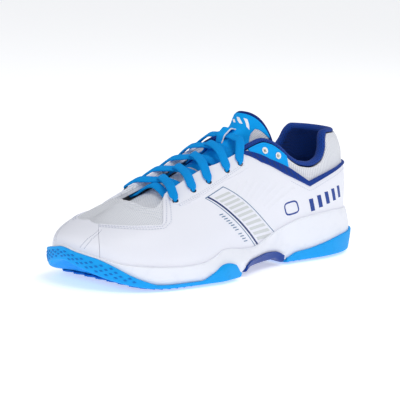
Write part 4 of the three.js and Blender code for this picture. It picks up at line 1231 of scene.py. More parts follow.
class Repeats:
    """Makes stitches, dots, studs and lugs."""

    STITCH_PITCH = 2.2
    STITCH_LENGTH = 1.6
    STITCH_WIDTH = 0.42
    SHOULDER = 0.7  # height at which a stud starts to taper, as a share of its own

    def __init__(self) -> None:
        """Builds both trees."""
        self.stitches = StitchLine()
        self.shapes = ShapeOnPoints()

    def stitch(self, name: str, lines: Sequence[Array],
               material: bpy.types.Material) -> bpy.types.Object:
        """Sews along lines.

        Args:
            name: The piece's name.
            lines: Each an array of points, in millimetres.
            material: The thread.

        Returns:
            The stitches, as one object.
        """
        edges = []
        start = 0
        for line in lines:
            edges += [(start + i, start + i + 1) for i in range(len(line) - 1)]
            start += len(line)
        values = {
            "Pitch": self.STITCH_PITCH * MM, "Length": self.STITCH_LENGTH * MM,
            "Width": self.STITCH_WIDTH * MM, "Material": material,
        }
        obj = add_mesh(name, metres(np.concatenate(lines)), edges, [])
        self.stitches.apply(obj, values)
        obj.data.polygons.foreach_set("use_smooth", [True] * len(obj.data.polygons))
        return obj

    def scatter(self, name: str, places: Array, facing: Array, along: Array,
                shape: bpy.types.Object, material: bpy.types.Material) -> bpy.types.Object:
        """Puts a shape at each place.

        Args:
            name: The piece's name.
            places: Points, in millimetres.
            facing: Where each shape's top faces.
            along: Where each shape's long side points.
            shape: The shape, drawn in metres about its origin. It is removed afterwards.
            material: Its finish.

        Returns:
            The shapes, as one object.
        """
        obj = add_mesh(name, metres(places), [], [])
        for key, vectors in (("facing", facing), ("along", along), ("grow", np.ones_like(places))):
            layer = obj.data.attributes.new(key, "FLOAT_VECTOR", "POINT")
            layer.data.foreach_set("vector", vectors.astype(np.float32).ravel())
        self.shapes.apply(obj, {"Shape": shape, "Material": material})
        bpy.data.objects.remove(shape)
        return obj

    @classmethod
    def prism(cls, corners: Sequence[Spot], height: float,
              taper: float) -> bpy.types.Object:
        """A flat-topped stud about the origin.

        Args:
            corners: Its outline, in millimetres.
            height: How far it stands up, from z = 0.
            taper: Size of its top, as a share of its foot.

        Returns:
            The shape.
        """
        foot = [(x * MM, y * MM, 0.0) for x, y in corners]
        shoulder = [(x * MM, y * MM, height * cls.SHOULDER * MM) for x, y in corners]
        top = [(x * taper * MM, y * taper * MM, height * MM) for x, y in corners]
        n = len(corners)
        faces = [tuple(range(n))[::-1], tuple(range(2 * n, 3 * n))]
        for ring in (0, n):
            faces += [(ring + i, ring + (i + 1) % n, ring + n + (i + 1) % n, ring + n + i)
                      for i in range(n)]
        return add_mesh("stud", foot + shoulder + top, [], faces)


def round_outline(radius: float, sides: int) -> list[Spot]:
    """Corners of an even polygon."""
    turns = [2 * math.pi * i / sides for i in range(sides)]
    return [(radius * math.cos(a), radius * math.sin(a)) for a in turns]


# ------------------------------------------------------------------------ placing pieces
def settle(piece: bpy.types.Object, body: str, slot: str, *nodes: str) -> bpy.types.Object:
    """Lets a piece ride on a body, in place of its nodes.

    Args:
        piece: The finished piece.
        body: The body that it moves with.
        slot: Not used.
        nodes: The frame's nodes that it stands for.

    Returns:
        The piece.
    """
    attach(piece, body)
    if nodes:
        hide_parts(*nodes)
    LOG.info("%s: %d faces on %s", piece.name, len(piece.data.polygons), body)
    return piece


# --------------------------------------------------------------------------------- upper
@dataclass
class Upper:
    """The mesh, the leather over it, the trims and the stiffeners."""

    finishes: Finishes
    wing_gap: float = 0.002
    heel_seam: float = 0.0007
    bulge: float = 1.0
    band_trim: float = 0.008

    def build(self) -> None:
        """Makes every piece of the upper."""
        self._vamp()
        self._quarter()
        for lateral in (True, False):
            self._overlay(lateral)
            self._eyestay(lateral)
            self._tab(lateral)
            self._band(lateral)
        self._toe()
        self._linings()

    @staticmethod
    def fold_lines() -> list[Trace]:
        """The folds where the throat's base is turned in."""
        first = [(0.412, 0.985), (0.407, 0.9), (0.399, 0.78), (0.39, 0.66), (0.384, 0.6)]
        second = [(0.419, 0.985), (0.414, 0.9), (0.405, 0.76), (0.394, 0.63), (0.386, 0.55)]
        lines = []
        for corners in (first, second):
            lines.append(Trace(corners, 0.0))
            lines.append(Trace([(1 - t, v) for t, v in corners], 0.0))
        return lines

    def _vamp(self) -> None:
        """The white mesh over the toes."""
        corners = (Pattern.THROAT_BASE, 1 - Pattern.THROAT_BASE, 0.402, 0.598)
        ts = stations(WING + self.wing_gap, 1 - WING - self.wing_gap, *corners)
        folds = groove(self.fold_lines(), 0.8, 0.9)
        layer = Layer("vamp", ts, feather_line, Pattern.layer_top, BASE.inner, BASE.outer, 90,
                      relief=folds, holes=eyelet_holes(LACED_ROWS[:2]))
        settle(layer.build(self.finishes["white_mesh"]), "root", "white_mesh", "vamp_mesh")

    def collar_bulge(self, t: Array, v: Array) -> Array:
        """How far the padded collar stands out over the last."""
        s = side_of(t)
        above = v - Pattern.BAND_HIGH(s)
        top = Pattern.layer_top(t) - v
        rise = smooth(above, 0.015, 0.09) * smooth(top, -0.02, 0.05) * smooth(s, 0.18, 0.165)
        return BASE.outer + self.bulge * rise

    def _quarter(self) -> None:
        """The knitted quarter, padded round the ankle."""
        ts = stations(-WING, WING, -0.118, 0.118, -0.09, 0.09)
        layer = Layer("quarter", ts, feather_line, Pattern.layer_top, BASE.inner,
                      self.collar_bulge, 80, holes=eyelet_holes(LACED_ROWS[2:] + TAB_ROWS))
        settle(layer.build(self.finishes["grey_knit"]), "root", "grey_mesh", "quarter_mesh")

    @staticmethod
    def seams(side: Callable[[float], float]) -> dict[str, list[Trace]]:
        """The lines pressed into one side's overlay.

        Args:
            side: Turns a station of the outer side into one of this side.

        Returns:
            Lines by name: the seam round the window, and the fine raised stripes.
        """
        def line(*corners: Spot) -> Trace:
            """A line on this side."""
            return Trace([(side(t), v) for t, v in corners], OVERLAY.outer)

        window = [(0.3705, 0.69), (0.3755, 0.6), (0.382, 0.485), (0.388, 0.455), (0.4, 0.48),
                  (0.422, 0.535), (0.446, 0.612), (0.46, 0.655)]
        second = [(0.3665, 0.69), (0.3705, 0.6), (0.3765, 0.475), (0.386, 0.43), (0.401, 0.455),
                  (0.423, 0.51), (0.447, 0.586), (0.4595, 0.62)]
        stripes = []
        for i in range(8):
            f = i / 7
            reach = 1.0 if i % 2 else 0.93
            start = (mix(0.283, 0.222, f), mix(0.44, 0.22, f))
            stripes.append(line(start, (mix(start[0], mix(0.275, 0.176, f), reach),
                                        mix(start[1], mix(0.49, 0.285, f), reach))))
        return {
            "window": [line(*window), line(*second)],
            "stripes": stripes,
        }

    def _overlay(self, lateral: bool) -> None:
        """The smooth leather side."""
        name = side_name(lateral)
        corners = (Pattern.BAND_VERTEX, Pattern.EYESTAY_FRONT, 0.38, 0.388, 0.394)
        ts = stations(self.heel_seam, Pattern.TOE_SEAM, *corners, step=1.1)
        lines = self.seams(to_side(lateral))
        pressed = groove(lines["window"], 0.35, 0.55)
        striped = groove(lines["stripes"], -0.45, 0.8)

        def relief(t: Array, v: Array, face: Array) -> Array:
            """The pressed and the raised lines together."""
            return pressed(t, v, face) + striped(t, v, face)

        holes = eyelet_holes(LACED_ROWS, (lateral,))
        layer = Layer(f"overlay_{name}", on_side(ts, lateral), feather_line,
                      Pattern.overlay_top, OVERLAY.inner, OVERLAY.outer, 96, 0.2, relief, holes)
        settle(layer.build(self.finishes["white_film"]), "root", "white_leather", f"quarter_{name}")

    def _eyestay(self, lateral: bool) -> None:
        """The reinforcement along the laced eyelets."""
        name = side_name(lateral)
        ts = stations(Pattern.BAND_FRONT + 0.001, Pattern.EYESTAY_FRONT - 0.001)

        def low(t: Array) -> Array:
            """Lower edge, with a rounded front corner."""
            s = side_of(t)
            ahead = np.clip((s - 0.352) / 0.013, 0, 1)
            corner = 0.09 * (1 - np.sqrt(np.maximum(1 - ahead ** 2, 0)))
            return 0.545 + 0.02 * smooth(s, 0.27, 0.3) + corner

        layer = Layer(f"eyestay_{name}_piece", on_side(ts, lateral), low,
                      lambda t: Pattern.top_edge(t) - 0.006, TRIM.inner, TRIM.outer, 40, 0.5,
                      holes=eyelet_holes(LACED_ROWS, (lateral,)))
        settle(layer.build(self.finishes["white_film"]), "root", "white_leather", f"eyestay_{name}")

    def _tab(self, lateral: bool) -> None:
        """The sky-blue tab with the two upper eyelets."""
        name = side_name(lateral)
        ts = stations(Pattern.TAB_REAR - 0.002, Pattern.TAB_FRONT)
        layer = Layer(f"tab_{name}", on_side(ts, lateral), lambda t: Pattern.band_middle(t) + 0.004,
                      Pattern.layer_top, OVERLAY.inner, OVERLAY.outer, 44, 0.4,
                      holes=eyelet_holes(TAB_ROWS, (lateral,)))
        settle(layer.build(self.finishes["sky_film"]), "root", "sky_leather", f"lace_tab_{name}")

    def _band(self, lateral: bool) -> None:
        """The royal-blue band in a V under the ankle."""
        name = side_name(lateral)
        ts = stations(0.001, Pattern.BAND_FRONT, Pattern.BAND_VERTEX)
        layer = Layer(f"band_{name}", on_side(ts, lateral),
                      lambda t: Pattern.BAND_LOW(side_of(t)) + self.band_trim,
                      lambda t: Pattern.BAND_HIGH(side_of(t)) - self.band_trim / 2,
                      BASE.outer - 0.2, TRIM.outer, 14, 0.4)
        settle(layer.build(self.finishes["royal_film"]), "root", "royal_trim", f"trim_band_{name}")

    def _toe(self) -> None:
        """The leather toe cap."""
        ts = stations(Pattern.TOE_SEAM + 0.0003, 1 - Pattern.TOE_SEAM - 0.0003, 0.5)
        layer = Layer("toe_cap", ts, feather_line, lambda t: Pattern.TOE_CAP(side_of(t)),
                      OVERLAY.inner, OVERLAY.outer, 70, 0.15)
        settle(layer.build(self.finishes["white_film"]), "root", "white_leather", "toe_overlay")

    def _linings(self) -> None:
        """The white lining under the vamp."""
        ts = stations(WING + self.wing_gap, 1 - WING - self.wing_gap, Pattern.THROAT_BASE, step=3)
        layer = Layer("vamp_cloth", ts, feather_line, Pattern.layer_top, LINING.inner,
                      BASE.inner - 0.1, 30, holes=eyelet_holes(LACED_ROWS[:2]))
        settle(layer.build(self.finishes["plain_lining"]), "root", "white_lining", "vamp_lining")


@dataclass
class Padding:
    """Fills a closed mesh with cloth simulation under pressure."""

    frames: int = 20

    def fill(self, obj: bpy.types.Object, pressure: float, cap: float, held: Array) -> None:
        """Swells the piece in place.

        Args:
            obj: A closed mesh.
            pressure: Pressure inside.
            cap: How far a corner may move, in millimetres.
            held: Share by which each corner is held, from 0 to 1.
        """
        scene = bpy.context.scene
        work = add_object("filling", obj.data.copy())
        group = work.vertex_groups.new(name="held")
        for level in range(1, 11):
            corners = np.flatnonzero(np.round(held * 10) == level)
            group.add(corners.tolist(), level / 10, "REPLACE")
        cloth = work.modifiers.new("cloth", "CLOTH")
        cloth.settings.quality = 4
        cloth.settings.mass = 0.02
        cloth.settings.use_pressure = True
        cloth.settings.uniform_pressure_force = pressure
        cloth.settings.effector_weights.gravity = 0
        cloth.settings.vertex_group_mass = "held"
        cloth.point_cache.frame_start = 1
        cloth.point_cache.frame_end = self.frames
        for frame_number in range(1, self.frames + 1):
            scene.frame_set(frame_number)
        done = work.evaluated_get(bpy.context.evaluated_depsgraph_get()).to_mesh()
        old = np.zeros(len(obj.data.vertices) * 3, np.float32)
        new = np.zeros_like(old)
        obj.data.vertices.foreach_get("co", old)
        done.vertices.foreach_get("co", new)
        move = (new - old).reshape(-1, 3)
        size = np.linalg.norm(move, axis=1, keepdims=True)
        move = move * np.minimum(1, cap * MM / np.maximum(size, 1e-9)) * (1 - held)[:, None]
        obj.data.vertices.foreach_set("co", (old + move.ravel()).astype(np.float32))
        obj.data.update()
        scene.frame_set(1)
        bpy.data.objects.remove(work)


def corners_of(obj: bpy.types.Object) -> Array:
    """The mesh's corners in the tables' axes, in millimetres."""
    flat = np.zeros(len(obj.data.vertices) * 3, np.float32)
    obj.data.vertices.foreach_get("co", flat)
    return flat.reshape(-1, 3).astype(float) / MM - CENTRE


@dataclass
class Collar:
    """The padded royal lining, rolled over the top edge of the ankle opening."""

    finishes: Finishes
    padding: Padding
    roll: float = 2.7
    skin: float = 1.0
    floor_edge: float = 0.03

    @staticmethod
    def pad_depth(t: Array, v: Array) -> Array:
        """How much deeper the lining lies where it is padded."""
        return FOAM * smooth(v, 0.26, 0.4) * smooth(side_of(t), 0.23, 0.18)

    def _profile(self, t: float, depth: float) -> Array:
        """The lining's section at one station, from the roll's outer side over and down inside.

        Args:
            t: The station.
            depth: How far inside the visible face it lies.

        Returns:
            Its points.
        """
        top = float(Pattern.top_edge(t))
        s = float(side_of(t))
        outer = mix(OVERLAY.outer + 0.25, BASE.outer + 0.2, float(smooth(s, 0.19, 0.175)))
        inner = LINING.inner - FOAM * float(smooth(s, 0.23, 0.18)) - 0.3
        centre = LAST.shell(t, top, (outer + inner) / 2)
        ahead = LAST.shell(t + 0.003, Pattern.top_edge(t + 0.003), (outer + inner) / 2)
        behind = LAST.shell(t - 0.003, Pattern.top_edge(t - 0.003), (outer + inner) / 2)
        along = unit(ahead - behind)
        out = LAST.normal(t, top)
        out = unit(out - along * (out @ along))
        up = np.cross(along, out)
        angle = np.linspace(-0.45, math.pi, 19)[:, None]
        half = (outer - inner) / 2 - depth
        arc = centre + out * half * np.cos(angle) + up * (self.roll - depth) * np.sin(angle)
        v = np.linspace(top - 0.035, self.floor_edge, 34)
        face = LINING.inner - self.pad_depth(np.full_like(v, t), v) + depth
        return np.concatenate([arc, LAST.shell(np.full_like(v, t), v, face)])

    def build(self) -> None:
        """Makes the padded lining and the cloth in front of it."""
        ts = np.linspace(-Pattern.BAND_FRONT, Pattern.BAND_FRONT, 300)
        outer = np.stack([self._profile(float(t), 0.0) for t in ts])
        inner = np.stack([self._profile(float(t), self.skin) for t in ts])
        run = np.concatenate([np.zeros((len(ts), 1)),
                              np.cumsum(np.linalg.norm(np.diff(outer, axis=1), axis=2), 1)], 1)
        uv = np.stack([np.broadcast_to(ts[:, None] * ROUND_ABOUT * 0.8, run.shape), run], -1)
        piece = MeshMaker.slab("collar_padding", outer, inner, uv, self.finishes["royal_knit"])
        self.padding.fill(piece, 1.2, 0.9, self._held(piece))
        settle(piece, "root", "royal_lining", "collar_binding", "collar_lining")
        for lateral in (True, False):
            self._front_lining(lateral)

    def _held(self, piece: bpy.types.Object) -> Array:
        """The lining is held at its lower edge and at both ends."""
        z = corners_of(piece)[:, 2]
        x = corners_of(piece)[:, 0]
        return np.clip(smooth(z, 42, 34) + smooth(x, -30, -22), 0, 1)

    def _front_lining(self, lateral: bool) -> None:
        """The lining beside the throat, in front of the padding."""
        ts = stations(Pattern.BAND_FRONT - 0.004, WING, step=2.5)
        layer = Layer(f"throat_lining_{side_name(lateral)}", on_side(ts, lateral),
                      lambda t: np.full_like(t, self.floor_edge), Pattern.layer_top,
                      LINING.inner, BASE.inner - 0.1, 30,
                      holes=eyelet_holes(LACED_ROWS[2:], (lateral,)))
        settle(layer.build(self.finishes["plain_lining"]), "root", "white_lining")


# -------------------------------------------------------------------------------- tongue
class Quilt:
    """A smooth sheet through a grid of points, read at any place between 0 and 1."""

    def __init__(self, points: Array) -> None:
        """Args:
            points: Grid of points, rows by columns by 3.
        """
        self.points = points

    @staticmethod
    def _ease(points: Array, place: Array) -> Array:
        """Reads along the first axis with a Catmull-Rom curve."""
        n = len(points)
        x = np.clip(place, 0, 1) * (n - 1)
        i = np.clip(np.floor(x).astype(int), 0, n - 2)
        shape = (-1,) + (1,) * (points.ndim - 1)
        f = (x - i).reshape(shape)
        a, b = points[np.maximum(i - 1, 0)], points[i]
        c, d = points[i + 1], points[np.minimum(i + 2, n - 1)]
        return b + 0.5 * f * (c - a + f * (2 * a - 5 * b + 4 * c - d + f * (3 * (b - c) + d - a)))

    def grid(self, rows: Array, columns: Array) -> Array:
        """Points at every row and column asked for."""
        down = self._ease(self.points, rows)
        return self._ease(down.transpose(1, 0, 2), columns).transpose(1, 0, 2)

    def at(self, row: Array, column: Array) -> Array:
        """Points at pairs of row and column."""
        pairs = zip(row[:, None], column[:, None])
        return np.stack([self.grid(r, c)[0, 0] for r, c in pairs])

    def normals(self, rows: Array, columns: Array) -> Array:
        """Normals at every row and column asked for."""
        d = 0.01
        along = self.grid(rows + d, columns) - self.grid(rows - d, columns)
        across = self.grid(rows, columns + d) - self.grid(rows, columns - d)
        return unit(np.cross(across, along))


@dataclass
class Tongue:
    """The padded tongue: fixed under the laces, free above the last crossing."""

    finishes: Finishes
    padding: Padding
    thickness: float = 5.0
    edge: float = 0.66
    split: float = 0.239
    bend_width: float = 16.0
    tip: tuple[float, float, float] = (-29.0, 0.0, 117.5)
    half_width: float = 18.0
    drop: float = 23.0
    wrap: float = 17.0
    MIDDLE = Curve((0.225, 1.2), (0.24, 2.2), (0.262, 5.2), (0.286, 8.0))
    LENGTH = 140  # of the tongue, for its pattern
    GIRTH = 52  # across the tongue, for its pattern

    def depth(self, t: Array, v: Array) -> Array:
        """How far the tongue's face lies inside the last."""
        return mix(8.0, self.MIDDLE(side_of(t)), smooth(v, 0.78, 0.93))

    def _laced(self, t: float, w: Array, extra: float) -> Array:
        """A row of the part under the laces, from the outer side (w = 1) to the inner (-1)."""
        v = 1 - (1 - self.edge) * np.abs(w)
        side = np.where(w >= 0, t, 1 - t)
        return LAST.shell(side, v, -self.depth(side, v) - extra)

    def _free(self, s: float, w: Array) -> Array:
        """A row of the free part, from the bend (s = 0) to the top edge (1)."""
        start = self._laced(self.split, w, 0.0)
        leave = unit(self._laced(self.split - 0.01, w, 0.0) - start) * 20
        end = np.stack([
            self.tip[0] - self.wrap * np.abs(w) ** 1.6,
            self.half_width * np.sin(w * math.pi / 2),
            self.tip[2] - self.drop * np.abs(w) ** 2.4,
        ], -1)
        arrive = np.stack([np.full_like(w, -12), np.zeros_like(w), mix(18, 6, w * w)], -1)
        g = 1 - s
        ends = start * g * g * (1 + 2 * s) + end * s * s * (1 + 2 * g)
        return ends + leave * s * g * g - arrive * s * s * g

    def _faces(self) -> tuple[Array, Array]:
        """The tongue's front and back as grids, from the throat's base to the top edge."""
        w = np.linspace(1, -1, 27)
        laced = [self._laced(float(t), w, 0.0) for t in np.linspace(0.43, self.split + 0.004, 32)]
        free = [self._free(float(s), w) for s in np.linspace(0.06, 1, 18)]
        front = np.stack(laced + free)
        quilt = Quilt(front)
        rows, columns = np.linspace(0, 1, len(front)), np.linspace(0, 1, len(w))
        normal = quilt.normals(rows, columns)
        normal = normal * np.sign((normal * np.array([0.4, 0, 1.0])).sum(-1).mean())
        thin = 1 - 0.3 * smooth(np.abs(w), 0.75, 1.0)[None, :, None]
        return front, front - normal * self.thickness * thin

    def build(self) -> None:
        """Makes the pad, its face panel, its binding, its mark and the keeper."""
        front, back = self._faces()
        rows, columns = front.shape[:2]
        pad = self._pad(front, back)
        self.padding.fill(pad, 2.5, 1.3, self._held(rows, columns))
        swollen = corners_of(pad)[: rows * columns * 2].reshape(2, rows, columns, 3)
        front, back = swollen[0], swollen[1]
        bpy.data.objects.remove(pad)
        self.front, self.back = Quilt(front), Quilt(back)
        self._body()
        self._panel()
        self._binding()
        self._mark()
        self._keeper()

    @staticmethod
    def _pad(front: Array, back: Array) -> bpy.types.Object:
        """A coarse closed pad whose corners keep the grids' order, for the filling."""
        rows, columns = front.shape[:2]
        ids = np.arange(rows * columns).reshape(rows, columns)
        cells = cells_of(ids).reshape(-1, 4)
        rim = np.concatenate([ids[0, :-1], ids[:-1, -1], ids[-1, :0:-1], ids[:0:-1, 0]])
        nxt = np.roll(rim, -1)
        back_id = rows * columns
        walls = np.stack([rim, nxt, nxt + back_id, rim + back_id], -1)
        faces = np.concatenate([cells, cells[:, ::-1] + back_id, walls[:, ::-1]])
        points = np.concatenate([front.reshape(-1, 3), back.reshape(-1, 3)])
        return add_mesh("pad", metres(points), [], faces.tolist())

    @staticmethod
    def _held(rows: int, columns: int) -> Array:
        """The pad is held under the laces and along its sewn edges."""
        q = np.linspace(0, 1, rows)[:, None]
        w = np.abs(np.linspace(1, -1, columns))[None, :]
        held = smooth(q, 0.7, 0.5) + smooth(w, 0.82, 1.0) + smooth(q, 0.95, 1.0)
        return np.tile(np.clip(held, 0, 1).ravel(), 2)

    def _bends(self, piece: bpy.types.Object, slot: str, *nodes: str) -> None:
        """Bakes a piece's place into its mesh, and hides the frame's nodes that it stands for."""
        joint = next(j for j in frame["joints"] if j["name"] == "tongue_flex")
        hinge = np.array(joint["pos_m"])
        way = unit(np.array([-0.8, 0.0, 0.6])) * self.bend_width * MM
        if nodes:
            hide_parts(*nodes)
        start, end = tuple(hinge - way * 0.1), tuple(hinge + way * 0.9)
        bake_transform(piece)
        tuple(start)
        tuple(end)
        LOG.info("%s: %d faces, bending with the tongue", piece.name, len(piece.data.polygons))

    def _between(self, name: str, rows: Array, columns: Callable[[float], Spot], count: int,
                 low: float, high: float, material: str,
                 rounding: float = 0.4) -> bpy.types.Object:
        """A layer on the tongue's front.

        Args:
            name: The piece's name.
            rows: Rows of the tongue, from 0 to 1.
            columns: First and last column at each row, from 0 to 1.
            count: Columns of the layer.
            low: Height of its back over the tongue's face.
            high: Height of its front.
            material: Its finish.
            rounding: Radius of its edges.

        Returns:
            The layer.
        """
        f = np.linspace(0, 1, count)
        outer, inner, uv = [], [], []
        for i, q in enumerate(rows):
            a, b = columns(float(q))
            c = mix(a, b, f)
            place = self.front.grid(np.array([q]), c)[0]
            normal = self.front.normals(np.array([q]), c)[0]
            normal = normal * np.sign(normal[:, 2].mean() + normal[:, 0].mean())
            run = run_along(place)
            to_edge = np.minimum(run, run[-1] - run)
            to_end = min(i, len(rows) - 1 - i) * 0.5
            away = np.minimum(np.minimum(to_edge, to_end), rounding)
            outer.append(place + normal * (high - edge_drop(away, rounding))[:, None])
            inner.append(place + normal * low)
            uv.append(np.stack([np.full_like(run, q * self.LENGTH), run], -1))
        grids = (np.stack(grid) for grid in (outer, inner, uv))
        return MeshMaker.slab(name, *grids, self.finishes[material])

    def _body(self) -> None:
        """The tongue's own mesh and padding."""
        rows = np.linspace(0, 1, 150)
        columns = np.linspace(0, 1, 84)
        front, back = self.front.grid(rows, columns), self.back.grid(rows, columns)
        uv = np.stack(np.broadcast_arrays(
            rows[:, None] * self.LENGTH, columns[None, :] * self.GIRTH), -1)
        piece = MeshMaker.slab("tongue", front, back, uv, self.finishes["tongue_mesh"])
        self._bends(piece, "white_mesh", "tongue_lower", "tongue_upper")

    @staticmethod
    def panel_edge(q: float) -> Spot:
        """The sky-blue panel's two edges at a row of the tongue."""
        up = float(smooth(q, 0.66, 1.0))
        lateral = 0.045 + 0.18 * float(smooth(q, 0.62, 0.8) * smooth(q, 0.99, 0.86))
        medial = mix(0.94, 0.985, up)
        narrow = float(smooth(q, 0.47, 0.40))
        return mix(lateral, 0.2, narrow), mix(medial, 0.8, narrow)

    def _panel(self) -> None:
        """The sky-blue face of the tongue."""
        rows = np.concatenate([
            [0.4, 0.401, 0.403], np.linspace(0.406, 0.985, 110), [0.988, 0.99, 0.991],
        ])
        piece = self._between("tongue_panel", rows, self.panel_edge, 60, 0.05, 0.9, "sky_cloth")
        self._bends(piece, "sky_cloth")

    def _binding(self) -> None:
        """The navy tape round the tongue's edge."""
        low = 0.5
        route = [(q, 0.0) for q in np.linspace(low, 1, 60)]
        route += [(1.0, c) for c in np.linspace(0, 1, 70)[1:-1]]
        route += [(q, 1.0) for q in np.linspace(1, low, 60)]
        row, column = np.array(route).T
        front, back = self.front.at(row, column), self.back.at(row, column)
        centre = (front + back) / 2
        kernel = np.array([1, 4, 6, 4, 1]) / 16
        for k in range(3):
            padded = np.pad(centre[:, k], 2, mode="edge")
            centre[:, k] = np.convolve(padded, kernel, "valid")
        along = unit(np.gradient(centre, axis=0))
        thin = front - back
        half = np.linalg.norm(thin, axis=1, keepdims=True) / 2 + 0.5
        thin = unit(thin - along * (thin * along).sum(1, keepdims=True))
        side = unit(np.cross(along, thin))
        angle = once_round(16)[None, :, None]
        ring = centre[:, None] + thin[:, None] * half[:, None] * np.cos(angle)
        ring = ring + side[:, None] * 2.7 * np.sin(angle)
        piece = MeshMaker.sweep("tongue_edge", ring, self.finishes["navy_tape"], 14.0)
        self._bends(piece, "navy_binding", "tongue_binding")

    def _mark(self) -> None:
        """A plain generic mark: three slanted bars, printed near the top."""
        bars = (((0.8, 0.3), (0.92, 0.4)), ((0.8, 0.42), (0.92, 0.52)), ((0.8, 0.54), (0.87, 0.6)))
        half_width = 0.028
        pieces = []
        for i, (start, end) in enumerate(bars):
            def edges(q: float, start: Spot = start, end: Spot = end) -> Spot:
                """The slanted bar's edges at a row."""
                middle = mix(start[1], end[1], (q - start[0]) / (end[0] - start[0]))
                return middle - half_width, middle + half_width
            rows = np.linspace(start[0], end[0], 16)
            pieces.append(self._between(f"bar_{i}", rows, edges, 8, 0.85, 1.02, "white_ink", 0.05))
        self._bends(MeshMaker.join("tongue_mark", pieces), "white_plastic")

    def _keeper(self) -> None:
        """The loop that the lace's ends pass under, with a white edge."""
        span = (0.2385, 0.2655)
        f = np.linspace(0, 1, 40)
        g = np.linspace(-1, 1, 34)
        t = mix(span[0], span[1], f)[:, None]
        v = 1 - 0.06 * np.abs(g)[None, :]
        side = np.where(g[None, :] <= 0, t, 1 - t)
        hump = 0.6 + 3.6 * smooth(np.minimum(f, 1 - f), 0, 0.3)[:, None]
        base = -self.depth(side, np.broadcast_to(v, side.shape)) + hump
        edge = np.minimum(np.minimum(f, 1 - f)[:, None] * 17, (1 - np.abs(g))[None, :] * 9)
        drop = 0.35 * (1 - np.clip(edge / 0.4, 0, 1)) ** 2
        outer = LAST.shell(side, v, base + 0.95 - drop)
        inner = LAST.shell(side, v, base)
        uv = np.stack(np.broadcast_arrays(t * ROUND_ABOUT, v * WALL_HEIGHT), -1)
        piece = MeshMaker.slab("keeper", outer, inner, uv, self.finishes["sky_cloth"])
        settle(piece, "root", "sky_cloth", "lace_keeper")
        centre = outer[:, 1] + (inner[:, 1] - outer[:, 1]) * 0.4
        along = unit(np.gradient(centre, axis=0))
        up = unit(outer[:, 1] - inner[:, 1])
        across = unit(np.cross(along, up))
        angle = once_round(8)[None, :, None]
        ring = centre[:, None] + up[:, None] * 0.65 * np.cos(angle)
        ring = ring + across[:, None] * 0.6 * np.sin(angle)
        trim = MeshMaker.sweep("keeper_edge", ring, self.finishes["white_thread"], 4.0)
        settle(trim, "root", "white_plastic")


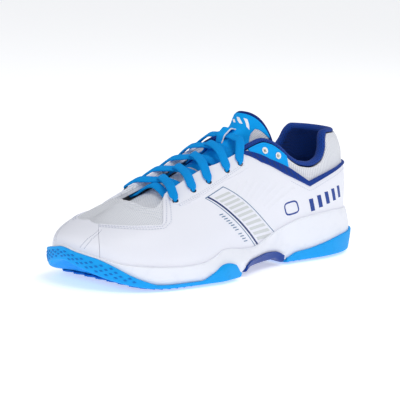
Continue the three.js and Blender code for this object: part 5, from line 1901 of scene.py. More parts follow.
# ---------------------------------------------------------------------------------- lace
@dataclass
class Lacing:
    """The flat lace through five rows of eyelets, and the four moulded eyelets above them."""

    finishes: Finishes
    width: float = 6.9
    thickness: float = 2.1
    bend: float = 1.5
    neck: float = 3.4
    over: float = 3.55
    under: float = -5.4
    crossing_low: float = -2.6
    RING = (
        (1.45, -1.4), (2.05, -1.4), (2.05, 1.4), (2.6, 1.4), (2.75, 1.6), (2.7, 1.85), (2.5, 2.0),
        (2.2, 2.05), (1.85, 1.95), (1.6, 1.8), (1.45, 1.4), (1.45, 0.0),
    )
    # section of a dark sleeve inside each punched hole: painted shade of the hole's inside
    HOLE_SHADE_SLEEVE = ((1.95, 0.0), (2.28, 0.0), (2.28, 2.12), (2.1, 2.2), (1.95, 2.1))

    @property
    def crossing_high(self) -> float:
        """Middle of the upper strand where two strands cross."""
        return self.crossing_low + self.thickness + 0.5

    def _on_last(self, s: float, lateral: bool, v: float, offset: float) -> tuple[Array, float]:
        """A point of the route over the last."""
        return LAST.shell(s if lateral else 1 - s, v, offset), 0.0

    def _through(self, row: int, lateral: bool) -> list[tuple[Array, float]]:
        """From beneath the eyestay up through an eyelet and back over the eyestay."""
        spot = Pattern.eyelet(row, lateral)
        b = self.bend
        pairs = ((b * 2.6, self.under, 0), (b, self.under, 1), (b * 0.3, self.under + b * 0.3, 1),
                 (0, self.under + b, 1), (0, self.over - b, 1), (b * 0.3, self.over - b * 0.3, 0.8),
                 (b * 1.1, self.over, 0.45), (b * 2.6, self.over, 0))
        place, across, up = spot["place"], spot["across"], spot["up"]
        return [(place + across * a + up * c, float(n)) for a, c, n in pairs]

    def _cross(self, row: int, lateral: bool) -> list[tuple[Array, float]]:
        """From one eyelet over the throat to beneath the next one on the other side."""
        first, second = Pattern.EYELETS[row][0], Pattern.EYELETS[row + 1][0]
        middle = self.crossing_high if lateral else self.crossing_low
        steps = (
            (0.17, lateral, 0.78, self.over - 0.3),
            (0.34, lateral, 0.89, mix(self.over, middle, 0.7)),
            (0.5, lateral, 1.0, middle),
            (0.66, not lateral, 0.89, mix(middle, self.under, 0.5)),
            (0.84, not lateral, 0.8, self.under),
            (0.95, not lateral, 0.72, self.under),
        )
        return [self._on_last(mix(first, second, f), *rest) for f, *rest in steps]

    def _half(self, lateral: bool) -> list[tuple[Array, float]]:
        """From the middle of the bar at the toe end to the end under the keeper."""
        first = Pattern.EYELETS[0][0]
        points = [self._on_last(first, lateral, v, self.under + lift)
                  for v, lift in ((1.0, 2.6), (0.88, 1.6), (0.76, 0.0))]
        for row in LACED_ROWS:
            points += self._through(row, lateral)
            if row != LACED_ROWS[-1]:
                points += self._cross(row, lateral)
                lateral = not lateral
        keeper = 0.253
        depth = Tongue.MIDDLE(keeper)
        ends = ((0.78, self.over - 1.2), (0.85, -0.4), (0.9, -depth + 2.9), (0.945, -depth + 2.1),
                (0.972, -depth + 2.0))
        return points + [self._on_last(keeper, lateral, v, float(offset)) for v, offset in ends]

    def build(self) -> None:
        """Makes the lace and the moulded eyelets."""
        route = self._half(False)[::-1] + self._half(True)[1:]
        places = np.array([p for p, _ in route])
        narrow = np.array([n for _, n in route])
        centre, pinch = self._smooth_route(places, narrow)
        along = unit(np.gradient(centre, axis=0))
        toeward = unit(LAST.feather(0.5) - np.array([-12.0, 0, 104]))
        wide = unit(toeward - along * (along @ toeward)[:, None])
        thin = np.cross(along, wide)
        half = mix(self.width, self.neck, pinch)[:, None, None] / 2
        deep = mix(self.thickness, self.thickness * 0.9, pinch)[:, None, None] / 2
        angle = once_round(16)[None, :, None]
        flat_x = np.sign(np.cos(angle)) * np.abs(np.cos(angle)) ** 0.8
        flat_y = np.sign(np.sin(angle)) * np.abs(np.sin(angle)) ** 0.8
        rings = centre[:, None] + wide[:, None] * half * flat_x + thin[:, None] * deep * flat_y
        piece = MeshMaker.sweep("lacing", rings, self.finishes["sky_lace"], 16.0)
        settle(piece, "root", "sky_lace", "lace")
        for lateral in (True, False):
            for row in TAB_ROWS:
                self._eyelet(row, lateral)
        self._painted_hole_shade()

    @staticmethod
    def _smooth_route(places: Array, narrow: Array) -> tuple[Array, Array]:
        """A centripetal Catmull-Rom curve through the route, in steps of about a millimetre."""
        steps = np.linalg.norm(np.diff(places, axis=0), axis=1)
        knots = np.concatenate([[0], np.cumsum(steps ** 0.5)])
        tangent = np.gradient(places, knots, axis=0)
        centre, pinch = [], []
        for i in range(len(places) - 1):
            h = knots[i + 1] - knots[i]
            count = max(2, round(float(np.linalg.norm(places[i + 1] - places[i])) / 0.9))
            f = np.linspace(0, 1, count, endpoint=False)[:, None]
            centre.append(bent(places[i], places[i + 1], tangent[i], tangent[i + 1], f, h))
            pinch.append(mix(narrow[i], narrow[i + 1], smooth(f[:, 0], 0, 1)))
        return np.concatenate(centre), np.concatenate(pinch)

    def _eyelet(self, row: int, lateral: bool) -> None:
        """A moulded eyelet: a sleeve through the tab with a rounded flange."""
        name = f"eyelet_{side_name(lateral)}_{row + 1}"
        piece = self._turned(f"{name}_ring", row, lateral, self.RING, 36, "white_plastic", 8.0)
        settle(piece, "root", "white_plastic", name)

    def _painted_hole_shade(self) -> None:
        """Dark sleeves inside the punched eyelets, seen beside the lace: painted shade of the
        holes' insides.
        """
        pieces = [
            self._turned(f"edge_{row}_{lateral}", row, lateral, self.HOLE_SHADE_SLEEVE, 28, "shadow", 4.0)
            for lateral in (True, False) for row in LACED_ROWS
        ]
        settle(MeshMaker.join("punched_edges", pieces), "root", "navy_binding")

    def _turned(self, name: str, row: int, lateral: bool, profile: Sequence[Spot],
                sides: int, material: str, girth: float) -> bpy.types.Object:
        """A ring about one eyelet's axis.

        Args:
            name: The piece's name.
            row: The eyelet's row.
            lateral: True for the outer side.
            profile: Its section, as (radius, height) pairs.
            sides: How many facets it has, once round.
            material: Its finish.
            girth: Length round its section.

        Returns:
            The ring.
        """
        spot = Pattern.eyelet(row, lateral)
        radius, height = np.array(profile)[:, :1], np.array(profile)[:, 1:]
        rings = np.stack([
            spot["place"] + (spot["across"] * math.cos(a) + spot["along"] * math.sin(a)) * radius
            + spot["up"] * height
            for a in once_round(sides)
        ])
        return MeshMaker.sweep(name, rings, self.finishes[material], girth, True)


# ---------------------------------------------------------------------------------- sole
@dataclass
class Sole:
    """The foam midsole, the two rubber pads, the shank between them and the insole."""

    finishes: Finishes
    repeats: Repeats
    seat: float = 0.3
    sheet: float = 3.6
    rubber: float = 1.8
    lug: float = 1.2
    level: float = 12.0
    BITE = Curve(
        (0, 0.075), (0.058, 0.08), (0.118, 0.095), (0.162, 0.1), (0.2, 0.08), (0.224, 0.055),
        (0.246, 0.03), (0.27, 0.05), (0.31, 0.1), (0.332, 0.06), (0.35, 0.04), (0.41, 0.035),
        (0.442, 0.02), (0.466, 0.03), (0.484, 0.04), (0.5, 0.075),
    )
    OUTER_FLARE = Curve(
        (0, 6.5), (0.05, 7), (0.1, 5), (0.15, 3.5), (0.2, 3), (0.25, 5.5), (0.29, 9), (0.315, 8.5),
        (0.34, 5), (0.37, 3), (0.42, 3), (0.46, 3), (0.5, 2.6),
    )
    INNER_FLARE = Curve(
        (0, 6.5), (0.06, 6), (0.15, 3.5), (0.25, 3), (0.33, 3.4), (0.42, 3), (0.5, 2.6),
    )
    GROUND = Curve(
        (0, 1.6), (0.035, 0), (0.385, 0), (0.408, 0.9), (0.43, 3.2), (0.45, 6.6), (0.47, 11.2),
        (0.485, 15), (0.5, 17.6),
    )
    RAISE = Curve((0.185, 0), (0.207, 5.2), (0.262, 5.4), (0.292, 0))
    SWELL = Curve((0.45, 0), (0.7, 0.29), (0.88, 0.68), (1, 1))
    FOREFOOT_WRAP = Curve(
        (0.29, 0.1), (0.305, 0.5), (0.322, 0.62), (0.335, 0.35), (0.348, 0.06), (0.4, 0.05),
        (0.415, 0.2), (0.43, 0.42), (0.45, 0.8), (0.466, 0.96), (0.5, 0.96),
    )
    HEEL_WRAP = Curve((0, 0.5), (0.08, 0.42), (0.15, 0.2), (0.172, 0.16), (0.186, 0.05))
    SHANK_WRAP = Curve((0.19, 0.12), (0.24, 0.3), (0.285, 0.12))
    LUG_SPANS = {"forefoot": (0.298, 0.428), "heel": (0.022, 0.178)}
    LUG_ROW = 6.2  # from one row of lugs to the next
    LUG_PITCH = 5.4  # least distance between two lugs of a row
    LUG_EDGE = 4.0  # how far inside the feather edge a row ends
    LUG_OUTLINE = ((-3.1, -1.15), (3.1, -1.15), (3.1, 1.15), (-3.1, 1.15))
    LUG_TAPER = 0.86
    SUNK = 0.1  # how far lugs and rings stand in the rubber
    PIVOT = (62.0, -12.0)
    PIVOT_RINGS = (4.0, 9.0, 14.0)
    PIVOT_CLEAR = 17.0  # lugs keep this far from the pivot's middle
    DIAMOND_OUTLINE = ((-1.7, 0), (0, -0.9), (1.7, 0), (0, 0.9))
    DIAMOND_SHARES = (0.12, 0.3, 0.48, 0.66)
    DIAMOND_STEP = 0.009

    def flare(self, t: Array) -> Array:
        """How far the sole stands out past the feather edge."""
        return np.where(is_medial(t), self.INNER_FLARE(side_of(t)), self.OUTER_FLARE(side_of(t)))

    def underside(self, t: Array) -> Array:
        """Height of the midsole's underside."""
        s = side_of(t)
        return self.GROUND(s) + self.sheet + self.seat + self.RAISE(s)

    def side(self, t: Array, h: Array, proud: Array) -> Array:
        """A place on the midsole's side.

        Args:
            t: Station.
            h: Height, from its underside (0) to the upper edge of its wall (1).
            proud: How far it stands out from the side.

        Returns:
            The place.
        """
        t, h, proud = np.broadcast_arrays(t, h, proud)
        foot, out = LAST.feather(t), LAST.outward(t)
        edge = LAST.shell(t, self.BITE(side_of(t)), CUP_INNER + CUP_WALL)
        reach = ((edge - foot) * out).sum(-1)
        flare = self.flare(t)
        middle = flare + 0.4
        low = mix(flare - 1.4, middle, smooth(h, -0.3, 0.45))
        at = np.where(h < 0.45, low, mix(middle, reach, self.SWELL(h)))
        place = foot + out * (at + proud)[..., None]
        place[..., 2] = mix(self.underside(t), edge[..., 2], h)
        return place

    @staticmethod
    def inset(t: Array, amount: Array, z: Array) -> Array:
        """A place inside the feather edge, at a height."""
        t, amount, z = np.broadcast_arrays(t, amount, z)
        place = LAST.feather(t) - LAST.outward(t) * amount[..., None]
        place[..., 2] = z
        return place

    @staticmethod
    def across(s: Array, half: Callable[[Array], Array]) -> Array:
        """Cross sections from the outer side to the inner."""
        one, other = half(s[:, None]), half(1 - s[:, None])
        middle = (one[:, -1:] + other[:, -1:]) / 2
        return np.concatenate([one, middle, other[:, ::-1]], 1)

    def _solid(self, name: str, s: Array, outer: Section, inner: Section, material: str,
               zipped: tuple[bool, bool]) -> bpy.types.Object:
        """A closed solid between two families of half sections."""
        front, back = self.across(s, outer), self.across(s, inner)
        uv = np.stack([front[..., 0], front[..., 1]], -1)
        return MeshMaker.slab(name, front, back, uv, self.finishes[material], None, 35.0, zipped)

    def build(self) -> None:
        """Makes the whole sole."""
        self._midsole()
        self._pads()
        self._shank()
        self._lugs()
        self._toe_diamonds()
        self._insole()

    def _midsole(self) -> None:
        """The white foam cup."""
        wall = np.linspace(0.9, 0.07, 22)
        h = np.concatenate([[1, 1, 0.99, 0.97, 0.94], wall, [0.03, 0.01, 0, 0]])
        proud = np.concatenate([
            [-1.2, -0.55, -0.2, -0.04, 0], np.zeros_like(wall), [-0.05, -0.25, -0.7, -1.6],
        ])
        share = np.linspace(1, 0, len(h) - 2)

        def outer(t: Array) -> Array:
            """From the wall's edge down and in."""
            middle = self.inset(t, self.level, self.underside(t))
            return np.concatenate([self.side(t, h, proud), middle], 1)

        def inner(t: Array) -> Array:
            """From the wall's edge down inside to the footbed."""
            bed = LAST.feather(t)[..., 2] - 0.4
            spread = np.broadcast_to(t, (len(t), len(share)))
            wall = LAST.shell(spread, self.BITE(side_of(t)) * share, CUP_INNER)
            ends = [self.inset(t, a, bed) for a in (0.6 - CUP_INNER, 6.0, self.level)]
            return np.concatenate([wall, *ends], 1)

        s = np.unique(np.concatenate([np.linspace(0, 0.5, 250), [0.285]]))
        piece = self._solid("foam_cup", s, outer, inner, "white_foam", (True, True))
        settle(piece, "root", "white_foam", "midsole")

    def _cover(self, name: str, s: Array, thickness: float, wrap: Section, material: str,
               zipped: tuple[bool, bool], notch: float = 0.0) -> bpy.types.Object:
        """Rubber or plastic under the midsole, standing up its side."""
        f = np.concatenate([[1, 0.985], np.linspace(0.95, 0, 14)])
        turn = np.linspace(0, 1, 7)[1:]

        def face(t: Array, proud: Array, bottom: Array, tuck: float) -> Array:
            """Half a section: down the side, round the corner and in."""
            stand = wrap(side_of(t)) * f
            wall = self.side(t, stand, proud)
            last = wall[:, -1:]
            corner = last.copy()
            corner[..., 2] = bottom
            foot = self.inset(t, tuck - self.flare(t), bottom)
            curve = last * (1 - turn[:, None]) ** 2 + foot * turn[:, None] ** 2
            curve = curve + corner * (2 * turn * (1 - turn))[:, None]
            return np.concatenate([wall, curve, self.inset(t, self.level, bottom)], 1)

        def outer(t: Array) -> Array:
            """The visible face."""
            proud = np.full((len(t), len(f)), self.seat + self.rubber)
            proud[:, 0] -= 0.7
            proud[:, 1] -= 0.12
            cut = np.exp(-(((side_of(t) - 0.012) % 0.018 - 0.009) * ROUND_ABOUT / 1.1) ** 2)
            proud -= notch * cut * smooth(side_of(t), 0.07, 0.06)
            return face(t, proud, self.underside(t) - self.seat - thickness, 3.6)

        def inner(t: Array) -> Array:
            """The face against the midsole."""
            return face(t, np.full((len(t), len(f)), self.seat), self.underside(t) - self.seat, 3.8)

        return self._solid(name, s, outer, inner, material, zipped)

    def _pads(self) -> None:
        """The rubber under the forefoot and the heel."""
        base = self.sheet - self.lug
        front = self._cover("forefoot_rubber", np.linspace(0.29, 0.5, 150), base,
                            self.FOREFOOT_WRAP, "sky_rubber", (False, True))
        settle(front, "root", "sky_rubber", "outsole_forefoot")
        heel = self._cover("heel_rubber", np.linspace(0, 0.186, 150), base, self.HEEL_WRAP,
                           "sky_rubber", (True, False), 1.2)
        settle(heel, "root", "sky_rubber", "outsole_heel")

    def _shank(self) -> None:
        """The stiff plate under the arch, with three ribs."""
        s = np.linspace(0.192, 0.276, 80)
        plate = self._cover("arch_plate", s, 3.0, self.SHANK_WRAP, "royal_plastic", (False, False))
        ribs = []
        for i, share in enumerate((0.3, 0.5, 0.7)):
            way = np.linspace(0.196, 0.272, 40)
            z = self.underside(way) - self.seat - 3.0
            middle = mix(self.inset(way, 4.0, z), self.inset(1 - way, 4.0, z), share)
            angle = once_round(12)[None, :, None]
            up, side = np.array([0, 0, 1.0]), np.array([0, 1.0, 0])
            rings = middle[:, None] + up * 0.9 * np.cos(angle) + side * 1.6 * np.sin(angle)
            ribs.append(MeshMaker.sweep(f"rib_{i}", rings, self.finishes["royal_plastic"], 8.0))
        whole = MeshMaker.join("arch_support", [plate, *ribs])
        settle(whole, "root", "royal_plastic", "shank_plate")

    def _lug_rows(self, first: float, last: float) -> tuple[Array, Array]:
        """Places of the lugs and which way each one leans."""
        places, lean = [], []
        for s in np.arange(first, last, self.LUG_ROW / ROUND_ABOUT):
            z = float(self.underside(s) - self.seat - self.sheet + self.lug)
            a, b = (self.inset(t, self.LUG_EDGE, z) for t in (s, 1 - s))
            count = int(np.linalg.norm(a - b) // self.LUG_PITCH)
            for k in range(count + 1):
                places.append(mix(a, b, k / max(count, 1)))
                lean.append(1 if k % 2 else -1)
        return np.array(places), np.array(lean)

    def _lugs(self) -> None:
        """Herringbone lugs with a pivot ring under the ball."""
        pivot = np.array(self.PIVOT)
        for name, (first, last) in self.LUG_SPANS.items():
            places, lean = self._lug_rows(first, last)
            away = np.linalg.norm(places[:, :2] - pivot, axis=1)
            places, lean = places[away > self.PIVOT_CLEAR], lean[away > self.PIVOT_CLEAR]
            down = np.broadcast_to(np.array([0, 0, -1.0]), places.shape)
            along = np.stack([np.full(len(lean), 0.55), 0.84 * lean, np.zeros(len(lean))], -1)
            bar = self.repeats.prism(self.LUG_OUTLINE, self.lug + self.SUNK, self.LUG_TAPER)
            piece = self.repeats.scatter(f"{name}_lugs", places + np.array([0, 0, self.SUNK]), down,
                                         along, bar, self.finishes["deep_rubber"])
            settle(piece, "root", "sky_rubber")
        rings = []
        angle = once_round(72)
        out = np.stack([np.cos(angle), np.sin(angle)], -1)
        profile = np.array([(-1.1, 0), (-0.9, -1.3), (0.9, -1.3), (1.1, 0)])
        for radius in self.PIVOT_RINGS:
            flat = pivot + out[:, None] * (radius + profile[None, :, :1])
            high = self.lug + self.SUNK + profile[None, :, 1:]
            high = np.broadcast_to(high, flat.shape[:2] + (1,))
            rings.append(MeshMaker.sweep(f"ring_{radius}", np.concatenate([flat, high], -1),
                                         self.finishes["deep_rubber"], 6.0, True))
        settle(MeshMaker.join("pivot_rings", rings), "root", "sky_rubber")

    def _toe_diamonds(self) -> None:
        """Raised diamonds on the rubber that wraps the toe."""
        places, facing, along = [], [], []
        proud = self.seat + self.rubber - 0.25
        for row, share in enumerate(self.DIAMOND_SHARES):
            start = 0.428 + (row % 2) * self.DIAMOND_STEP / 2
            for t in np.arange(start, 0.572, self.DIAMOND_STEP):
                h = share * 0.96
                if h > float(self.FOREFOOT_WRAP(side_of(t))) - 0.14:
                    continue
                here = self.side(t, h, proud)
                way = self.side(t + 1e-3, h, proud) - here
                rise = self.side(t, h + 0.02, proud) - here
                places.append(here)
                facing.append(unit(np.cross(rise, way)))
                along.append(unit(way))
        shape = self.repeats.prism(self.DIAMOND_OUTLINE, 0.6, 0.7)
        facing = np.array(facing)
        out = LAST.outward(np.full(len(facing), 0.5))
        facing = facing * np.sign((facing * out).sum(-1, keepdims=True) + 1e-6)
        piece = self.repeats.scatter("toe_diamonds", np.array(places), facing, np.array(along),
                                     shape, self.finishes["deep_rubber"])
        settle(piece, "root", "sky_rubber")

    def _insole(self) -> None:
        """The sockliner, with its edge turned up round the heel."""
        def low(t: Array) -> Array:
            """Height of its underside."""
            return LAST.feather(t)[..., 2] - 0.4 + 2 * self.seat + 1.4

        def half(t: Array, rise: float, lift: float) -> Array:
            """Half a section at one face."""
            at_toe = smooth(side_of(t), 0.4, 0.47)
            edge = 4.2 + 0.8 + 1.6 * at_toe
            f = np.linspace(0, 1, 9)
            curve = rise * (1 - at_toe) * (1 - f) ** 2 + lift
            return self.inset(t, edge + f * (self.level + 1 - edge), low(t) + curve)

        piece = self._solid("sockliner", np.linspace(0, 0.5, 200), lambda t: half(t, 3.0, 4.2),
                            lambda t: half(t, 0.0, 0.0), "dark_cloth", (True, True))
        settle(piece, "footbed", "insole_cloth", "insole")


# ------------------------------------------------------------------- prints and stitches
@dataclass
class Prints:
    """Printed shapes on the leather, raised by a tenth of a millimetre."""

    finishes: Finishes
    repeats: Repeats
    high: float = 0.1
    sunk: float = 0.12

    def _quad(self, name: str, corners: Sequence[Spot], material: str,
              size: tuple[int, int] = (6, 24), lift: float = 0.0) -> bpy.types.Object:
        """A four-sided patch over the last, between corners (t, v) in turn."""
        a, b, c, d = (np.array(corner, float) for corner in corners)
        f = np.linspace(0, 1, size[0])[:, None, None]
        g = np.linspace(0, 1, size[1])[None, :, None]
        place = mix(mix(a, b, f), mix(d, c, f), g)
        t, v = place[..., 0], place[..., 1]
        outer = LAST.shell(t, v, OVERLAY.outer + self.high + lift)
        inner = LAST.shell(t, v, OVERLAY.outer - self.sunk)
        uv = np.stack([t * ROUND_ABOUT, v * WALL_HEIGHT], -1)
        return MeshMaker.slab(name, outer, inner, uv, self.finishes[material])

    def _line(self, name: str, corners: Sequence[Spot], width: float, material: str,
              lift: float = 0.0) -> bpy.types.Object:
        """A ribbon along a line over the last."""
        points, normals = Trace(corners, OVERLAY.outer).places()
        along = unit(np.gradient(points, axis=0))
        side = unit(np.cross(along, normals))
        w = np.linspace(-0.5, 0.5, 3)[None, :, None] * width
        grid = points[:, None] + side[:, None] * w
        rise = normals[:, None] * (self.high + lift)
        uv = np.stack([grid[..., 0], grid[..., 2]], -1)
        sunk = normals[:, None] * self.sunk
        return MeshMaker.slab(name, grid + rise, grid - sunk, uv, self.finishes[material])

    def build(self) -> None:
        """Prints both sides."""
        for lateral in (True, False):
            side, name = to_side(lateral), side_name(lateral)
            self._strip(name, side)
            self._mark(name, side)
            self._dashes(name, side)
            self._toe_dots(name, side)

    def _strip(self, name: str, side: Callable[[float], float]) -> None:
        """The slanted strip across the midfoot: outline, navy line and grey bars."""
        def at(f: float, g: float) -> Spot:
            """Down the strip (f) and across it (g), from its front edge."""
            high = mix(np.array([0.328, 0.53]), np.array([0.3, 0.53]), g)
            low = mix(np.array([0.244, 0.03]), np.array([0.202, 0.04]), g)
            bow = 0.006 * math.sin(f * math.pi)
            t, v = mix(high, low, f)
            return side(t + bow), v

        bars = []
        for i in range(11):
            f = 0.07 + i * 0.083
            corners = (at(f, 0.24), at(f + 0.045, 0.24), at(f + 0.085, 0.9), at(f + 0.04, 0.9))
            bars.append(self._quad(f"bar_{i}", corners, "grey_ink", (4, 14)))
        settle(MeshMaker.join(f"strip_bars_{name}", bars), "root", "white_leather")
        down = np.linspace(0, 1, 24)
        lines = [
            self._line("front", [at(f, 0.12) for f in down], 1.5, "navy_ink"),
            self._line("edge", [at(f, 0.0) for f in down], 0.6, "slate_ink"),
            self._line("top", [at(0, g) for g in np.linspace(0, 1, 8)], 0.6, "slate_ink"),
            self._line("back", [at(f, 1.0) for f in down], 0.6, "slate_ink"),
        ]
        settle(MeshMaker.join(f"strip_lines_{name}", lines), "root", "white_leather")
        dashes = []
        for i in range(12):
            f = 0.34 + i * 0.045 + (0.03 if i > 7 else 0)
            ends = [at(f, -0.3), at(f + 0.014, -0.16)]
            dashes.append(self._line(f"dash_{i}", ends, 0.7, "slate_ink", 0.03))
        settle(MeshMaker.join(f"strip_dashes_{name}", dashes), "root", "white_leather")

    def _mark(self, name: str, side: Callable[[float], float]) -> None:
        """A generic mark on the quarter: a rounded lozenge and five slanted bars."""
        middle, reach = np.array([0.18, 0.175]), np.array([0.011, 0.036])
        rim = []
        for a in np.linspace(0, 2 * math.pi, 41):
            x, y = math.cos(a), math.sin(a)
            size = (x**4 + y**4) ** -0.25
            t = side(middle[0] + reach[0] * (x + 0.25 * y) * size)
            rim.append((t, middle[1] + reach[1] * y * size))
        pieces = [self._line("lozenge", rim, 1.3, "royal_ink")]
        for i in range(5):
            t = 0.146 - i * 0.0145
            v = 0.155 + i * 0.009
            corners = ((side(t), v - 0.035), (side(t - 0.007), v - 0.035),
                       (side(t - 0.003), v + 0.04), (side(t + 0.004), v + 0.04))
            pieces.append(self._quad(f"bar_{i}", corners, "royal_ink", (4, 8)))
        settle(MeshMaker.join(f"mark_{name}", pieces), "root", "white_leather")

    def _dashes(self, name: str, side: Callable[[float], float]) -> None:
        """Slanted dark dashes on the front leg of the trim band."""
        dashes = []
        for i in range(9):
            s = mix(0.168, 0.247, i / 8)
            low, high = float(Pattern.BAND_LOW(s)), float(Pattern.BAND_HIGH(s))
            a = (side(s - 0.002), mix(low, high, 0.25))
            b = (side(s + 0.002), mix(low, high, 0.8))
            lift = TRIM.outer - OVERLAY.outer
            dashes.append(self._line(f"dash_{i}", [a, b], 1.0, "navy_ink", lift))
        settle(MeshMaker.join(f"band_dashes_{name}", dashes), "root", "royal_trim")

    def _toe_dots(self, name: str, side: Callable[[float], float]) -> None:
        """Small punched dots in rows along the toe seam, drawn as grey discs: their grey is painted
        shade inside the holes.
        """
        places, facing, along = [], [], []
        for shift in (-0.004, 0.0005):
            for f in np.linspace(0, 1, 17):
                s = float(np.interp(f, [0, 0.5, 1], [0.462, 0.474, 0.481])) + shift
                v = mix(0.54, 0.12, f)
                t = side(s)
                places.append(LAST.shell(t, v, OVERLAY.outer - 0.15))
                facing.append(LAST.normal(t, v))
                along.append(unit(LAST.shell(t, v + 0.01, 0.0) - LAST.shell(t, v, 0.0)))
        shape = self.repeats.prism(round_outline(0.42, 10), 0.18, 0.8)
        piece = self.repeats.scatter(f"toe_dots_{name}", np.array(places), np.array(facing),
                                     np.array(along), shape, self.finishes["hole_shade_grey"])
        settle(piece, "root", "white_leather")


@dataclass
class Stitching:
    """Rows of stitches along the seams."""

    finishes: Finishes
    repeats: Repeats
    SLOTS = {"pale_thread": "white_leather", "sky_cloth": "sky_leather", "royal_ink": "royal_trim"}

    def build(self) -> None:
        """Sews both sides."""
        for lateral in (True, False):
            side, name = to_side(lateral), side_name(lateral)
            self._rows(f"seam_stitches_{name}", self._film_rows(side), "pale_thread")
            self._rows(f"tab_stitches_{name}", self._tab_rows(side), "sky_cloth")
            self._rows(f"band_stitches_{name}", self._band_rows(side), "royal_ink")

    def _rows(self, name: str, rows: Sequence[tuple[Sequence[Spot], float]],
              thread: str) -> None:
        """Sews rows of corners (t, v), each at its own offset."""
        lines = [Trace(corners, offset + 0.05, 0.6).places()[0] for corners, offset in rows]
        settle(self.repeats.stitch(name, lines, self.finishes[thread]), "root", self.SLOTS[thread])

    @staticmethod
    def _film_rows(side: Callable[[float], float]) -> list[tuple[list[Spot], float]]:
        """Beside the eyestay's lower edge, round the vamp's window and below the trim band."""
        rows = []
        span = np.linspace(Pattern.BAND_FRONT + 0.006, Pattern.EYESTAY_FRONT - 0.006, 30)
        for gap in (0.012, 0.026):
            rows.append(([(side(s), 0.565 + gap) for s in span], TRIM.outer))
        for trace in Upper.seams(side)["window"]:
            rows.append((trace.corners, OVERLAY.outer))
        behind = np.linspace(0.01, 0.178, 30)
        rows.append(([(side(s), float(Pattern.BAND_LOW(s)) - 0.02) for s in behind], OVERLAY.outer))
        return rows

    @staticmethod
    def _tab_rows(side: Callable[[float], float]) -> list[tuple[list[Spot], float]]:
        """Round the tab's free edges."""
        span = np.linspace(Pattern.TAB_REAR + 0.005, Pattern.TAB_FRONT - 0.003, 20)
        upper = [(side(s), float(Pattern.layer_top(s)) - 0.018) for s in span]
        rear = [(side(Pattern.TAB_REAR + 0.002), mix(float(Pattern.band_middle(0.184)) + 0.06,
                                                     float(Pattern.layer_top(0.184)) - 0.02, f))
                for f in np.linspace(0, 1, 8)]
        return [(upper, OVERLAY.outer), (rear, OVERLAY.outer)]

    @staticmethod
    def _band_rows(side: Callable[[float], float]) -> list[tuple[list[Spot], float]]:
        """Along both edges of the trim band."""
        span = np.linspace(0.004, Pattern.BAND_FRONT - 0.003, 60)
        return [
            ([(side(s), float(Pattern.BAND_HIGH(s)) - 0.009) for s in span], TRIM.outer),
            ([(side(s), float(Pattern.BAND_LOW(s)) + 0.013) for s in span], TRIM.outer),
        ]


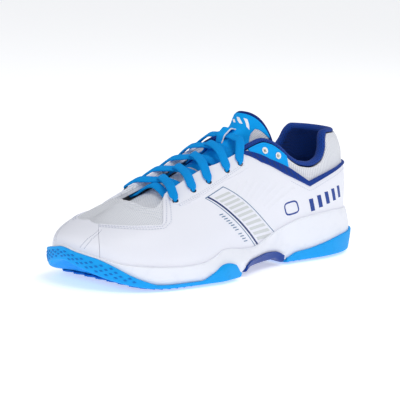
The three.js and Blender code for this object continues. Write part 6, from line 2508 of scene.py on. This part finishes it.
# -------------------------------------------------------------------------------- studio
class Studio:
    """The camera, the lights and the floor."""

    TARGET = Vector((0.0156, -0.0024, 0.0523))
    DISTANCE = 1.2
    AZIMUTH, ELEVATION, ROLL = 135.0, 10.3, 2.6
    LENS, SENSOR = 140.1, 36.0
    FLOOR_REACH, FLOOR_HEIGHT = 6, -0.0005
    LAMPS = (  # name, place, size, power
        ("key", (0.2, 0.9, 1.7), 1.1, 12.5),
        ("fill", (1.7, 0.2, 0.7), 1.2, 3.6),
        ("rim", (-1.3, 0.2, 1.1), 1.0, 4.0),
    )

    def build(self) -> None:
        """Sets up the picture."""
        scene = bpy.context.scene
        scene.view_settings.view_transform = "Standard"
        self._camera(scene)
        self._floor()
        self._world(scene)
        for lamp in self.LAMPS:
            self._area(*lamp)

    def _camera(self, scene: bpy.types.Scene) -> None:
        """Puts the camera where the photograph was taken from."""
        a, e, r = (math.radians(x) for x in (self.AZIMUTH, self.ELEVATION, self.ROLL))
        back = Vector((math.sin(a) * math.cos(e), -math.cos(a) * math.cos(e), math.sin(e)))
        right = Vector((0, 0, 1)).cross(back).normalized()
        up = back.cross(right)
        tilted = right * math.cos(r) + up * math.sin(r)
        top = up * math.cos(r) - right * math.sin(r)
        data = bpy.data.cameras.new("camera")
        data.lens = self.LENS
        data.sensor_width = self.SENSOR
        camera = add_object("camera", data)
        turn = Matrix((tilted, top, back)).transposed().to_4x4()
        camera.matrix_world = Matrix.Translation(self.TARGET + back * self.DISTANCE) @ turn
        scene.camera = camera

    def _area(self, name: str, place: tuple[float, float, float], size: float,
              power: float) -> None:
        """A soft square light that faces the shoe."""
        data = bpy.data.lights.new(name, "AREA")
        data.shape = "SQUARE"
        data.size = size
        data.energy = power
        light = add_object(name, data)
        light.location = place
        light.rotation_euler = (Vector(place) - self.TARGET).to_track_quat("Z", "Y").to_euler()

    def _floor(self) -> None:
        """A pale floor."""
        r, z = self.FLOOR_REACH, self.FLOOR_HEIGHT
        corners = [(-r, -r, z), (r, -r, z), (r, r, z), (-r, r, z)]
        floor = add_mesh("floor", corners, [], [(0, 1, 2, 3)])
        shader = Shader("floor")
        shader.bsdf.inputs["Base Color"].default_value = srgb("F4F5F7")
        shader.bsdf.inputs["Roughness"].default_value = 0.7
        shader.bsdf.inputs["Emission Color"].default_value = srgb("FFFFFF")
        shader.bsdf.inputs["Emission Strength"].default_value = 0.5
        floor.data.materials.append(shader.material)

    @staticmethod
    def _world(scene: bpy.types.Scene) -> None:
        """Even white light from all round."""
        world = bpy.data.worlds.new("studio")
        world.use_nodes = True
        background = world.node_tree.nodes["Background"]
        background.inputs["Color"].default_value = srgb("F6F8FC")
        background.inputs["Strength"].default_value = 0.45
        scene.world = world


# ------------------------------------------------------------------------------ the shoe
def dress(finishes: Finishes) -> None:
    """Gives the frame's hidden pieces, which stay as they are, their finishes."""
    hidden = {
        "strobel_board": "fibre_board", "heel_counter": "fibre_board", "toe_puff": "fibre_board",
        "forefoot_cushion": "cushion_gel", "heel_cushion": "cushion_gel",
        "collar_foam": "padding_foam",
    }
    for name, finish in hidden.items():
        mesh = bpy.data.objects[name].data
        mesh.materials.clear()
        mesh.materials.append(finishes[finish])


def main() -> None:
    """Builds the shoe and the studio."""
    logging.basicConfig(level=logging.INFO, format="%(name)s: %(message)s")
    finishes, repeats, padding = Finishes(), Repeats(), Padding()
    dress(finishes)
    Sole(finishes, repeats).build()
    Upper(finishes).build()
    Collar(finishes, padding).build()
    Tongue(finishes, padding).build()
    Lacing(finishes).build()
    Prints(finishes, repeats).build()
    Stitching(finishes, repeats).build()
    Studio().build()


if __name__ == "__main__":
    main()
